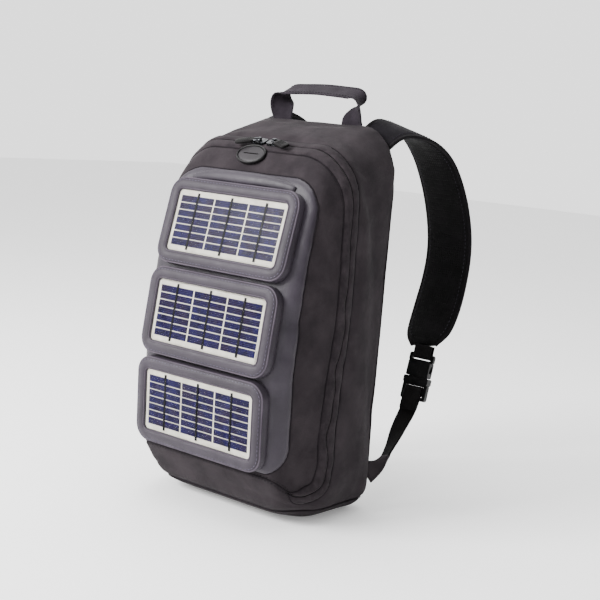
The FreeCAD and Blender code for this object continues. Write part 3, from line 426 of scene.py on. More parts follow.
def superellipse(half_wide, half_high, power=0.6, count=16):
    """Points round an oval; the smaller the power, the squarer."""
    made = []
    for k in range(count):
        c, s = math.cos(2 * math.pi * k / count), math.sin(2 * math.pi * k / count)
        made.append((half_wide * math.copysign(abs(c) ** power, c),
                     half_high * math.copysign(abs(s) ** power, s)))
    return made


def tube(build, path, radius, slot=0, closed=False, sides=8, flat=1.0):
    """Round cord along a path of points with normals in columns 3 to 5."""
    ring = ellipse(2 * radius, 2 * radius * flat, sides)
    return sweep(build, path, np.cross(path[:, 3:6], tangents(path, closed)),
                 lambda i: ring, slot, closed)


def stitches(build, path, slot=0, length=2.6, gap=1.9, radius=0.38, lift=0.15, closed=False):
    """A row of sewn stitches that dip into the cloth at both ends."""
    path = resample(path, (length + gap) / 4, closed)
    along = tangents(path, closed)
    for i in range(0, len(path) - 3, 4):
        point, normal, direction = path[i + 1, :3], unit(path[i + 1, 3:6]), along[i + 1]
        side = np.cross(normal, direction)
        rings = []
        for t, size, rise in ((-0.5, 0.25, -0.5), (-0.3, 0.9, 0.4), (0.3, 0.9, 0.4),
                              (0.5, 0.25, -0.5)):
            middle = point + direction * (t * length) + normal * (lift + rise * radius)
            for a, o in ellipse(2 * radius * size, 2 * radius * size, 5):
                rings.append(middle + side * a + normal * o)
        build.add(rings, grid(4, 5, ring=True) + [(4, 3, 2, 1, 0), (15, 16, 17, 18, 19)], slot)
    return build


def rounded(half_wide, low, high, low_radius, high_radius, straight=6.0, turn=9):
    """Closed outline of a rectangle about the middle line, anticlockwise, with its normals."""
    made = []
    for cx, cz, radius, start in ((half_wide - low_radius, low + low_radius, low_radius, -90),
                                  (half_wide - high_radius, high - high_radius, high_radius, 0),
                                  (high_radius - half_wide, high - high_radius, high_radius, 90),
                                  (low_radius - half_wide, low + low_radius, low_radius, 180)):
        for k in range(turn + 1):
            angle = math.radians(start + 90 * k / turn)
            made.append((cx + radius * math.cos(angle), cz + radius * math.sin(angle),
                         math.cos(angle), math.sin(angle)))
    filled = []
    for here, following in zip(made, made[1:] + made[:1]):
        filled.append(here)
        gap = math.hypot(following[0] - here[0], following[1] - here[1])
        count = int(gap / straight) if gap > 2 * straight else 0
        for k in range(1, count):
            t = k / count
            filled.append(tuple(a + (b - a) * t for a, b in zip(here, following)))
    return filled


def clip(points, faces, value):
    """The part of a mesh where value is above 0, and the paths of its cut edge.

    Every column of points is carried along.
    """
    value = np.where(np.abs(value) < 0.12, 0.0, value)
    rows = [tuple(r) for r in points]
    amounts = list(value)
    cuts, kept = {}, []
    for face in faces:
        if all(amounts[i] >= 0 for i in face):
            kept.append(face)
            continue
        if not any(amounts[i] > 0 for i in face):
            continue
        polygon = []
        for i, j in zip(face, face[1:] + face[:1]):
            if amounts[i] >= 0:
                polygon.append(i)
            if amounts[i] * amounts[j] < 0:
                key = (min(i, j), max(i, j))
                if key not in cuts:
                    t = amounts[i] / (amounts[i] - amounts[j])
                    cuts[key] = len(rows)
                    rows.append(tuple(a + (b - a) * t for a, b in zip(rows[i], rows[j])))
                    amounts.append(0.0)
                polygon.append(cuts[key])
        if len(polygon) >= 3:
            kept.append(tuple(polygon))
    level = {}
    for face in kept:
        for edge in zip(face, face[1:] + face[:1]):
            if amounts[edge[0]] == 0 and amounts[edge[1]] == 0:
                edge = (min(edge), max(edge))
                level[edge] = level.get(edge, 0) + 1
    rim = [edge for edge, count in level.items() if count == 1]
    used = sorted({i for face in kept for i in face})
    renumber = {old: new for new, old in enumerate(used)}
    rows = np.array(rows)
    return (rows[used], [tuple(renumber[i] for i in face) for face in kept],
            chains(rim, rows))


def chains(segments, rows):
    """Paths of rows joined up from loose segments, longest first."""
    near = {}
    for a, b in segments:
        near.setdefault(a, []).append(b)
        near.setdefault(b, []).append(a)
    ends = [k for k, v in near.items() if len(v) == 1] + list(near)
    seen, made = set(), []
    for start in ends:
        if start in seen:
            continue
        path = [start]
        seen.add(start)
        while True:
            onward = [n for n in near[path[-1]] if n not in seen]
            if not onward:
                break
            path.append(onward[0])
            seen.add(onward[0])
        if len(path) > 5:
            closed = path[0] in near[path[-1]]
            made.append((rows[path], closed))
    return sorted(made, key=lambda item: -len(item[0]))


def relax(path, rounds=4, closed=False):
    """Smooth a path without pulling in its ends."""
    path = path.copy()
    for _ in range(rounds):
        middle = (np.roll(path, 1, 0) + np.roll(path, -1, 0)) / 2
        if not closed:
            middle[0], middle[-1] = path[0], path[-1]
        path = path * 0.5 + middle * 0.5
    return path


# ---------------------------------------------------------------- the bag's soft form

PROFILE = [(80, 0), (93, 14), (93, 463), (90, 468), (5, 437), (-14, 427), (-24, 415), (-37, 384),
           (-64, 279), (-78.8, 174), (-74.5, 68), (-53, 27), (-46, 13), (-18, 0)]
# Outlines across the bag: Y, half width, top, top radius, foot, foot radius.
OUTLINES = [(105, 129, 476, 66, -3, 34), (0, 130, 437, 64, -3, 46), (-80, 103, 384, 60, 20, 46)]
ZIP_LINE = [(-75, 64), (-57, 50), (-38, 38), (-14, 42), (-4, 66), (-4, 120), (5, 250), (5, 330),
            (3.4, 368), (0.4, 398), (-2.6, 418), (-4, 432), (-4.8, 446), (-5.6, 460)]
ZIP_BAND = 12.0         # width of the tape on each side of the zip's line
ZIP_START = 46.0        # along the line from the fold to the lower ends of the zip
TAPE_OVERLAP = 1.4      # how far the tape reaches under the shell
TAPE_TAIL = 17.0        # how far the tape goes on below the lower ends of the zip


def closed_form():
    """Closed outer skin: the side profile cut with the rounded outlines, evenly meshed."""
    prism = Build()
    count = len(PROFILE)
    prism.add([(-150, y, z) for y, z in PROFILE] + [(150, y, z) for y, z in PROFILE],
              [tuple(range(count)), tuple(range(2 * count - 1, count - 1, -1))]
              + [(i, i + count, (i + 1) % count + count, (i + 1) % count) for i in range(count)])
    loft = Build()
    rings = [[(x, y, z) for x, z, _, _ in rounded(half - 2.0, foot, top, foot_radius, radius, 500)]
             for y, half, top, radius, foot, foot_radius in OUTLINES]
    size = len(rings[0])
    rings.append([(x * 0.935, -100, z) for x, _, z in rings[2]])
    faces = [tuple(range(size)), tuple(range(4 * size - 1, 3 * size - 1, -1))]
    for r in range(3):
        faces += [(r * size + k, (r + 1) * size + k, (r + 1) * size + (k + 1) % size,
                   r * size + (k + 1) % size) for k in range(size)]
    loft.add([p for ring in rings for p in ring], faces)
    cutter = loft.piece("cutter", None, [])
    made = prism.piece("form", None, [], modifiers=[
        ("BOOLEAN", {"operation": "INTERSECT", "object": cutter, "solver": "EXACT"}),
        ("REMESH", {"mode": "VOXEL", "voxel_size": 5 * MM}),
        ("SMOOTH", {"factor": 0.5, "iterations": 12})])
    flatten_modifiers(made)
    bpy.data.objects.remove(cutter)
    return made


def flatten_modifiers(made):
    """Replace a mesh by what its modifiers make of it."""
    graph = bpy.context.evaluated_depsgraph_get()
    mesh = bpy.data.meshes.new_from_object(made.evaluated_get(graph))
    made.modifiers.clear()
    made.data = mesh


def subdivide(made):
    """One subdivision, applied."""
    add_modifiers(made, [("SUBSURF", {"levels": 1, "render_levels": 1})])
    flatten_modifiers(made)


def vectors(mesh, kind):
    """The "co" or "normal" of each of a mesh's points."""
    flat = np.empty(len(mesh.vertices) * 3)
    mesh.vertices.foreach_get(kind, flat)
    return flat.reshape(-1, 3)


def coordinates(mesh):
    return vectors(mesh, "co") / MM


def normals(mesh):
    return vectors(mesh, "normal")


def set_coordinates(mesh, points):
    mesh.vertices.foreach_set("co", (points * MM).ravel())
    mesh.update()


def inflate(made, cap, pinned, pressure=4.0, frames=20):
    """Fill a closed mesh with air as cloth; no point moves further than its cap."""
    start = coordinates(made.data)
    group = made.vertex_groups.new(name="pin")
    for i, weight in enumerate(pinned):
        if weight > 0.01:
            group.add([i], float(weight), "REPLACE")
    modifier = made.modifiers.new("cloth", "CLOTH")
    settings = modifier.settings
    settings.quality = 4
    settings.mass = 0.3
    settings.tension_stiffness = settings.compression_stiffness = 12
    settings.bending_stiffness = 0.4
    settings.use_pressure = True
    settings.uniform_pressure_force = pressure
    settings.effector_weights.gravity = 0
    settings.vertex_group_mass = "pin"
    modifier.point_cache.frame_start = 1
    modifier.point_cache.frame_end = frames
    for number in range(1, frames + 1):
        bpy.context.scene.frame_set(number)
    flatten_modifiers(made)
    moved = coordinates(made.data) - start
    made.vertex_groups.clear()
    bpy.context.scene.frame_set(1)
    length = np.maximum(np.linalg.norm(moved, axis=1), 1e-6)
    limit = np.maximum(cap, 1e-3)
    set_coordinates(made.data, start + moved * (limit * np.tanh(length / limit) / length)[:, None])


def zip_fields(points):
    """Distance behind the zip line, and distance along it from the fold."""
    line = through_points([(y, z, 0) for y, z in ZIP_LINE], 4.0)[:, :2]
    step = np.diff(line, axis=0)
    length = np.linalg.norm(step, axis=1)
    direction = step / length[:, None]
    run = np.concatenate([[0], np.cumsum(length)])
    best = np.full(len(points), 1e9)
    distance, travel = np.zeros(len(points)), np.zeros(len(points))
    spot = points[:, 1:3]
    for i in range(len(step)):
        away = spot - line[i]
        t = away @ direction[i]
        if i > 0:
            t = np.maximum(t, 0)
        if i < len(step) - 1:
            t = np.minimum(t, length[i])
        off = away - t[:, None] * direction[i]
        gap = np.linalg.norm(off, axis=1)
        nearer = gap < best - 1e-9
        sign = np.sign(away[:, 0] * direction[i][1] - away[:, 1] * direction[i][0])
        best = np.where(nearer, gap, best)
        distance = np.where(nearer, gap * sign, distance)
        travel = np.where(nearer, run[i] + t, travel)
    return distance, travel


def smoothstep(value, low, high):
    """0 at low and 1 at high, smooth at both."""
    t = np.clip((value - low) / (high - low), 0, 1)
    return t * t * (3 - 2 * t)


def ripple(points, sizes, seed):
    """Smooth noise at each point, about -1 to 1; sizes stretch it along each axis."""
    return np.array([noise.noise(Vector((p[0] / sizes[0] + seed, p[1] / sizes[1], p[2] / sizes[2])))
                     for p in points])


def soft_form():
    """The bag's outer skin with its sags and puckers, as rows of numbers.

    Columns: point, normal, distance behind the zip line, distance along it.
    """
    made = closed_form()
    points, out = coordinates(made.data), normals(made.data)
    behind, travel = zip_fields(points)
    side = smoothstep(np.abs(out[:, 0]), 0.35, 0.8)
    top = smoothstep(out[:, 2], 0.5, 0.9)
    under = smoothstep(-out[:, 2], 0.3, 0.8)
    seam = np.exp(-((np.abs(behind) - ZIP_BAND) / 5.0) ** 2)
    cap = 1.0 + 4.5 * side + 2.5 * top      # millimetres that the cloth may puff out
    cap *= 1 - 0.85 * under
    cap *= 1 - 0.7 * seam
    inflate(made, cap, np.clip(0.9 * seam + 0.9 * under, 0, 1))
    subdivide(made)
    points, out = coordinates(made.data), normals(made.data)
    behind, travel = zip_fields(points)
    side = smoothstep(np.abs(out[:, 0]), 0.35, 0.8)
    loose = np.clip(side + 0.5 * smoothstep(out[:, 2], 0.4, 0.8) + 0.25, 0, 1)
    near_zip = np.exp(-((np.abs(behind) - ZIP_BAND) / 14.0) ** 2) * smoothstep(travel, 30, 90)
    low = smoothstep(-points[:, 2], -250, -60)
    # In turn: broad sags, smaller dents, puckers across the zip band, and the grooves where the
    # tape and the base are sewn.
    lift = 1.3 * loose * ripple(points, (60, 34, 90), 3.1)
    lift += 0.9 * loose * ripple(points, (26, 20, 30), 7.7)
    lift += near_zip * (0.6 + 0.7 * low) * ripple(points, (70, 60, 17), 1.3)
    lift -= 1.1 * np.exp(-((np.abs(behind) - ZIP_BAND) / 2.2) ** 2) * smoothstep(travel, 20, 50)
    lift -= 1.4 * np.exp(-((points[:, 2] - 15) / 3.0) ** 2) * (1 - smoothstep(out[:, 1], .5, .9))
    points = points + out * lift[:, None]
    points[:, 2] = np.maximum(points[:, 2], 0.2)
    set_coordinates(made.data, points)
    rows = np.column_stack([points, normals(made.data), behind, travel])
    faces = [tuple(p.vertices) for p in made.data.polygons]
    bpy.data.objects.remove(made)
    return rows, faces


form, form_faces = soft_form()
form_tree = BVHTree.FromPolygons([tuple(r[:3]) for r in form], form_faces)


def weave_line(rows):
    """The zip's wavy middle: how far it wanders from its line."""
    travel = rows[:, 7]
    low = 1 - smoothstep(travel, 260, 430)
    sway = np.sin(travel / 12.5) * 2.0 + np.sin(travel / 6.1 + 1.0) * 0.8
    return sway * low * smoothstep(travel, ZIP_START, ZIP_START + 40)


def band_width(rows):
    """Width of the zip's tape, which narrows to nothing below the zip's ends."""
    return ZIP_BAND * smoothstep(rows[:, 7], ZIP_START - 16, ZIP_START + 12)


# The shell's cut rim takes the darker seam cloth: painted shade in the gap beside the zip tape.
SHELL = [("SOLIDIFY", {"thickness": 3 * MM, "offset": -1.0, "material_offset": 1,
                       "material_offset_rim": 2, "use_quality_normals": True})]


def raised(rows, amount):
    """Points moved out along their normals."""
    rows = rows.copy()
    rows[:, :3] += rows[:, 3:6] * amount
    return rows


def bag_shells():
    """The lid's and the bag's fabric, cut apart along the zip and the fold."""
    trims = {"lid": Build(), "bag": Build()}
    for body, sign, name, node, slot in (
            ("lid", -1, "lid_shell", "front_shell", "lid_fabric"),
            ("bag", 1, "bag_shell", "rear_shell", "body_fabric")):
        rows, faces, rim = clip(form, form_faces, sign * form[:, 6] - band_width(form) - 0.25)
        Build().add(rows, faces).piece(name, body, [canvas, lining, painted_shade_seam_cloth], slot, [node],
                                       SHELL)
        path, closed = rim[0]
        path = relax(resample(path, 2.0, closed), 6, closed)
        # Seam cord along the cut edge, in the darker seam cloth: a painted shadow line beside the
        # zip tape.
        tube(trims[body], raised(path, 0.35), 0.75, closed=closed)
        stitches(trims[body], raised(shifted(path, 3.4), 0.1), 1, closed=closed)
        tape, tape_faces, _ = clip(form, form_faces, sign * (form[:, 6] - weave_line(form)) - 0.45)
        tape, tape_faces, _ = clip(tape, tape_faces,
                                   band_width(tape) - sign * tape[:, 6] + TAPE_OVERLAP)
        tape, tape_faces, _ = clip(tape, tape_faces, tape[:, 7] - ZIP_START + TAPE_TAIL)
        edge = np.abs(tape[:, 6] - weave_line(tape))
        tuck = smoothstep(sign * tape[:, 6] - band_width(tape), -1.6, 0.4)
        tape[:, :3] += tape[:, 3:6] * (1.1 - 0.9 * np.exp(-((edge - 0.4) / 1.2) ** 2)
                                       + 0.25 * np.exp(-((edge - 3.5) / 1.5) ** 2)
                                       - 1.5 * tuck)[:, None]
        end = "front" if body == "lid" else "rear"
        # The tape's rim takes the darker seam cloth: painted shade at the tape's edge.
        Build().add(tape, tape_faces).piece(f"zip_tape_{end}", body,
                                            [canvas_tape, canvas_tape, painted_shade_seam_cloth], "zip_tape",
                                            [f"zipper_tape_{end}"],
                                            [("SOLIDIFY", {"thickness": 2.2 * MM, "offset": -1.0,
                                                           "material_offset_rim": 2})])
        zip_coil(body, sign, end)
    for body, build in trims.items():
        build.piece(f"seam_trim_{body}", body, [painted_shade_seam_cloth, thread], "zip_tape")


def shifted(path, amount):
    """A path moved sideways along the surface, to the left of its direction."""
    path = path.copy()
    path[:, :3] += np.cross(path[:, 3:6], tangents(path)) * amount
    return path


def zip_coil(body, sign, end):
    """One side of the coil: a row of teeth along the zip's middle, under the tape's edge."""
    path = clip(form, form_faces, form[:, 6] - weave_line(form))[2][0][0]
    path = np.roll(path, -int(np.argmin(path[:, 7])), axis=0)
    path = relax(resample(path[path[:, 7] > ZIP_START + 6], 2.0), 4)
    build = Build()
    along = tangents(path)
    flow = 1 if np.mean(np.cross(path[:, 3:6], along)[:, 1]) > 0 else -1
    for i in range(1, len(path) - 1):
        normal, direction = unit(path[i, 3:6]), along[i]
        across = unit(np.cross(normal, direction)) * flow * sign
        middle = path[i, :3] - normal * 1.2 + across * 1.9
        shift = 0.5 if sign > 0 else -0.5
        points = []
        for a, taper in ((-1.75, 0.45), (-1.3, 0.7), (1.3, 0.7), (1.75, 0.45)):
            for d_, o in ((-0.62, -0.6), (0.62, -0.6), (0.62, 0.6), (-0.62, 0.6)):
                points.append(middle + across * a + direction * (d_ * taper + shift)
                              + normal * o * taper)
        faces = [(3, 2, 1, 0), (12, 13, 14, 15)] + grid(4, 4, ring=True)
        build.add(points, [f[::-1] for f in faces] if sign > 0 else faces)
    build.piece(f"zip_coil_{end}", body, [nylon_coil], "zip_coil", [f"zipper_coil_{end}"])


bag_shells()


# ---------------------------------------------------------------- the solar flap on the lid

FRONT = [(-57, 34), (-74.5, 68), (-78.8, 174), (-64, 279), (-37, 384), (-24, 415)]
FRONT_RUN = runs(np.array(FRONT))
FRONT_RUN -= FRONT_RUN[1]       # measured from the hip, where the fold is
CORNER = 12.0                   # how round the bag is between its front and its sides
FLARE = math.radians(71.4)      # turn from the front to a side
FACETS = {name: ((low[0] + high[0]) / 2, (low[1] + high[1]) / 2,
                 math.atan2(high[1] - low[1], high[0] - low[0]))
          for name, low, high in (("top", FRONT[3], FRONT[4]), ("middle", FRONT[2], FRONT[3]),
                                  ("bottom", FRONT[1], FRONT[2]))}
FRAME_HALF, FRAME_RISE, FRAME_RADIUS = 98.0, 52.0, 20.0
FLAP_HALF, FLAP_FOOT, FLAP_TOP = 119, -3, 337     # its lower half width, and its ends
FLAP_FOOT_RADIUS, FLAP_TOP_RADIUS = 32, 42
FLAP_RISE = 5.4                 # padding, from the flap's edge to its face


def front_at(run):
    """Point (y, z) and outward direction on the front's side profile."""
    def spot(at):
        return np.array([np.interp(at, FRONT_RUN, [p[0] for p in FRONT]),
                         np.interp(at, FRONT_RUN, [p[1] for p in FRONT])])
    step = unit(spot(run + 14) - spot(run - 14))
    return spot(run), np.array([-step[1], step[0]])


def half_at(y, z):
    """Half the bag's width."""
    t = min(max(-y / 80, 0), 1)
    half, top, radius = 128 - 27 * t, 435 - 53 * t, 64 - 4 * t
    over = z - (top - radius)
    if over > 0:
        half -= radius - math.sqrt(max(radius ** 2 - over ** 2, 0))
    return half


def on_front(across, run):
    """Point and normal on the bag's front, with the surface unrolled round its corners."""
    (y, z), (ny, nz) = front_at(run)
    bend = abs(across) - (half_at(y, z) - CORNER)
    sign = 1 if across >= 0 else -1
    turn = min(max(bend / CORNER, 0), FLARE)
    x = abs(across) if bend < 0 else half_at(y, z) - CORNER + CORNER * math.sin(turn)
    depth = CORNER * (1 - math.cos(turn))
    further = max(bend - CORNER * FLARE, 0)
    x += further * math.cos(FLARE)
    depth += further * math.sin(FLARE)
    guess = (sign * x, y - ny * depth, z - nz * depth)
    found = form_tree.find_nearest(guess)[0]
    out = np.array([sign * math.sin(turn), ny * math.cos(turn), nz * math.cos(turn)])
    return np.array(found), out


def rounded_distance(across, rise, half, low, high, low_radius, high_radius):
    """Distance outside a rounded rectangle, below 0 inside it."""
    middle = (low + high) / 2
    radius = high_radius if rise > middle else low_radius
    dx, dz = abs(across) - half + radius, abs(rise - middle) - (high - low) / 2 + radius
    return math.hypot(max(dx, 0), max(dz, 0)) + min(max(dx, dz), 0) - radius


def solar_flap():
    """Smooth flap that wraps the front and rolls over both edges down to its seams."""
    step = 2.4
    across = np.arange(-124, 124.1, step)
    rise = np.arange(-8, 342, step)
    rows, distance = [], []
    for run in rise:
        for a in across:
            point, out = on_front(a, run)
            half = FLAP_HALF - 9 * max(run - 100, 0) / 233        # narrower towards the top
            gap = rounded_distance(a, run, half, FLAP_FOOT, FLAP_TOP, FLAP_FOOT_RADIUS,
                                   FLAP_TOP_RADIUS)
            distance.append(gap)
            inside = min(max(-gap, 0) / 8.0, 1)
            height = FLAP_RISE * math.sqrt(1 - (1 - inside) ** 2) - 1.0
            height += 0.5 * inside * noise.noise(Vector((a / 22, run / 30, 4.0)))
            rows.append(np.concatenate([point + out * height, out]))
    rows, faces, rim = clip(np.array(rows), grid(len(rise), len(across)), -np.array(distance))
    Build().add(rows, faces).piece(
        "flap_skin", "lid", [flap_cloth, lining], "flap_fabric", ["solar_flap"],
        [("SOLIDIFY", {"thickness": 1.2 * MM, "offset": -1.0, "material_offset": 1}),
         ("SUBSURF", {"levels": 1, "render_levels": 1})])
    edge, closed = rim[0]
    edge = raised(relax(resample(edge, 2.0, closed), 3, closed), 0.5)
    # The cord round the flap's edge is in the darker seam cloth: a painted shadow line where the
    # flap meets the canvas.
    tube(Build(), edge, 0.9, closed=closed).piece("flap_seam", "lid", [painted_shade_seam_cloth], "flap_fabric")


def on_facet(name, across, up, out):
    """A point measured from the middle of one of the front's three facets."""
    y, z, angle = FACETS[name]
    return np.array([across, y + up * math.cos(angle) - out * math.sin(angle),
                     z + up * math.sin(angle) + out * math.cos(angle)])


def facet_normal(name):
    angle = FACETS[name][2]
    return np.array([0, -math.sin(angle), math.cos(angle)])


FRAME_SECTION = [(1.2, 1.0), (0.2, 4.2), (-0.5, 7.5), (-0.4, 10.5), (0.2, 13.0), (1.3, 15.2),
                 (2.7, 16.7), (3.4, 16.9), (4.1, 17.3), (6.0, 18.1), (8.6, 18.4), (10.8, 18.1),
                 (12.2, 17.7), (13.0, 17.2), (13.9, 16.9), (14.6, 16.9), (15.1, 16.5), (15.3, 15.4)]


def panel_frame(name):
    """Padded frame round one panel, with piping, a sewn edge and a turned-in window edge."""
    outline = rounded(FRAME_HALF, -FRAME_RISE, FRAME_RISE, FRAME_RADIUS, FRAME_RADIUS, 5.0, 12)
    points = []
    for x, z, nx, nz in outline:
        for inset, out in FRAME_SECTION:
            wander = noise.noise(Vector((x / 13, z / 13, out / 9 + len(name)))) * 0.35
            inset += wander if 0 < inset < 12 else 0
            points.append(on_facet(name, x - nx * inset, z - nz * inset, out + wander * 0.6))
    build = Build().add(points, grid(len(outline), len(FRAME_SECTION), closed=True, flip=True))

    def line(inset, height):
        return np.array([[*on_facet(name, x - nx * inset, z - nz * inset, height),
                          *facet_normal(name)] for x, z, nx, nz in outline])
    tube(build, resample(line(0.9, 14.9), 4.0, True), 1.0, 1, closed=True)
    stitches(build, line(3.4, 16.9), 2, 2.8, 2.0, 0.42, closed=True)
    # Thin ridge by the window in the lighter piping cloth: a painted highlight on the bevel.
    tube(build, resample(line(13.4, 17.3), 4.0, True), 0.55, 1, closed=True)
    made = build.piece(f"padded_frame_{name}", "lid", [frame_cloth, piping_and_highlight_cloth, frame_thread],
                       "frame_fabric", [f"panel_frame_{name}"])


def panel_fingers(name):
    """Printed silver lines on the cells."""
    columns, rows, wide, high, gap, row_gap = 3, 7, 156.0, 60.0, 2.4, 1.2
    cell_wide = (wide - (columns - 1) * gap) / columns
    cell_high = (high - (rows - 1) * row_gap) / rows
    build = Build()
    for c in range(columns):
        left = -wide / 2 + c * (cell_wide + gap) + 0.6
        for r in range(rows):
            foot = -high / 2 + r * (cell_high + row_gap)
            for f in range(4):
                up = foot + cell_high * (f + 0.5) / 4
                corners = []
                for out in (15.40, 15.48):
                    for x, u in ((left, up - 0.2), (left + cell_wide - 1.2, up - 0.2),
                                 (left + cell_wide - 1.2, up + 0.2), (left, up + 0.2)):
                        corners.append(on_facet(name, x, u, out))
                build.add(corners, [(4, 5, 6, 7), (0, 1, 5, 4), (1, 2, 6, 5), (2, 3, 7, 6),
                                    (3, 0, 4, 7), (3, 2, 1, 0)])
    build.piece(f"cell_fingers_{name}", "lid", [finger_metal], "cell_ribbon", crease=30)


def cap_bar():
    """Raised fold of the flap above the upper frame."""
    path = np.array([[*on_facet("top", x, 59.2 - (abs(x) / 78) ** 4 * 4.0, 4.6),
                      *facet_normal("top")] for x in np.linspace(-78, 78, 41)])

    def outline(i):
        end = 1 - abs(2 * i / 40 - 1) ** 2.6
        return superellipse(3.0 + 6.6 * end, 0.6 + 6.4 * end, 1.0, 18)
    across = np.tile([0, math.cos(FACETS["top"][2]), math.sin(FACETS["top"][2])], (len(path), 1))
    build = sweep(Build(), path, across, outline)
    edge = path.copy()
    edge[:, :3] += facet_normal("top") * 5.6 + across * -5.0
    stitches(build, edge[8:-8], 1)
    build.piece("flap_cap_bar", "lid", [flap_cloth, thread], "flap_fabric")


def finish(name, material, rounding=0):
    """A CAD node whose shape is right: it gets its material, and a moulded one rounded edges."""
    node = frame["nodes"][name]
    node.data.materials.clear()
    node.data.materials.append(material)
    if rounding:
        add_modifiers(node, [("BEVEL", {
            "width": rounding * MM, "segments": 2, "limit_method": "ANGLE",
            "angle_limit": math.radians(40), "harden_normals": False})])


solar_flap()
cap_bar()
for place in ("top", "middle", "bottom"):
    panel_frame(place)
    panel_fingers(place)
    finish(f"panel_backsheet_{place}", backsheet)
    finish(f"panel_cells_{place}", cell_silicon)
    finish(f"panel_ribbons_{place}", ribbon_metal)
    finish(f"panel_cover_{place}", clear_sheet)
    finish(f"panel_junction_box_{place}", case_plastic, 0.8)


# ---------------------------------------------------------------- handle, sliders, badge

HANDLE_ROUTE = [((54, 0, -7), (-1, 0, 0)), ((54, 0, 0), (-1, 0, 0)),
                ((56.5, 1.0, 9), (-0.92, 0.38, 0.1)), ((59, 2.5, 19), (-0.5, 0.8, 0.3)),
                ((57.5, 3.6, 27), (-0.16, 0.88, 0.42)), ((50, 4, 32.5), (0, 0.9, 0.44)),
                ((30, 4, 34), (0, 0.9, 0.44)), ((0, 4, 35), (0, 0.9, 0.44))]
HANDLE_FOOT = (0, 88.5, 466.8)


def band_outline(width, thick, bead=0.25):
    """Section of webbing: flat, with slightly thicker woven edges."""
    half, deep = width / 2, thick / 2
    upper = [(half, 0), (half - 0.3, deep * 0.8), (half - 1.2, deep + bead), (half - 2.6, deep),
             (0, deep + 0.05)]
    upper += [(-a, o) for a, o in upper[-2:0:-1]]
    return upper + [(-half, 0)] + [(a, -o) for a, o in upper[:0:-1]]


def carry_handle():
    """Flat webbing loop with a twist in each leg, sewn along both edges."""
    left = [(-p[0], p[1], p[2], -w[0], w[1], w[2]) for p, w in HANDLE_ROUTE[:-1]]
    right = [(*p, *w) for p, w in HANDLE_ROUTE][::-1]
    path = through_points(left + right, 2.5)
    path[:, :3] += HANDLE_FOOT
    ring = band_outline(30, 2.2)
    build = sweep(Build(), path, path[:, 3:6], lambda i: ring)
    side, out = band_axes(path, path[:, 3:6])
    for edge in (-11.6, 11.6):
        for face in (out, -out):
            line = np.hstack([path[:, :3] + side * edge + face * 1.15, face])
            stitches(build, line[6:-6], 1)
    build.piece("carry_handle_webbing", "handle", [grey_webbing, thread], "webbing",
                ["carry_handle"])


SLOPE = math.atan2(9, 19)       # of the bag's top where the zip runs over it
ZIP_TOP = (-4.2, 431.64)        # (y, z) of the coil there
PIN_HEIGHT = 6.4                # the pull's pin above it


def zip_pull(side, sign):
    """Rubber pull with grip ridges on a wire fork."""
    turn = math.radians((0 if sign > 0 else 180) - sign * 24)
    place = (Matrix.Translation((2.5 + sign * 11, *ZIP_TOP)) @ Matrix.Rotation(SLOPE, 4, "X")
             @ Matrix.Translation((0, 0, PIN_HEIGHT)) @ Matrix.Rotation(turn, 4, "Z"))

    def put(points):
        return [np.array(place @ Vector(p)) for p in points]

    def straight(build, stations, slot, power=0.6):
        path = np.array([s[0] for s in stations], float)
        sweep(build, path, np.tile([0, 1, 0], (len(path), 1)),
              lambda i: superellipse(stations[i][1], stations[i][2], power), slot)

    shape = Build()
    straight(shape, [((x, 0, 0), w, h) for x, w, h in (
        (6.0, 2.2, 0.8), (6.6, 3.6, 1.1), (8.5, 5.0, 1.5), (11, 5.9, 1.9), (15, 5.9, 1.9),
        (22, 6.2, 2.0), (27.0, 6.0, 1.9), (29.4, 4.6, 1.6), (30.4, 2.6, 0.9))], 0)
    for x in (12.5, 15.0, 17.5, 20.0, 22.5):
        for face in (1, -1):
            path = np.array([(x, y, face * (1.8 - abs(y) * 0.04), 0, 0, face)
                             for y in np.linspace(-4.2, 4.2, 9)])
            tube(shape, path, 0.45, 0, sides=6)
    for y in (-3.0, 3.0):
        straight(shape, [((x, y, 0), 0.7, h) for x, h in ((-1.2, 0.7), (-0.6, 1.15), (2, 1.2),
                                                          (6.5, 1.1), (8.4, 0.8))], 1, 0.8)
    pin = np.array([(0, y, 0, 0, 0, 1) for y in (-3.6, -1.2, 1.2, 3.6)], float)
    tube(shape, pin, 1.1, 1, sides=12)
    made = Build()
    made.add(put(shape.points), shape.faces)
    made.slots = shape.slots
    made.piece(f"zip_pull_tab_{side}", f"pull_{side}", [pull_rubber, slider_metal], "pull_rubber",
               [f"zipper_pull_{side}"])


BADGE_HALVES = (21.5, 14.0)


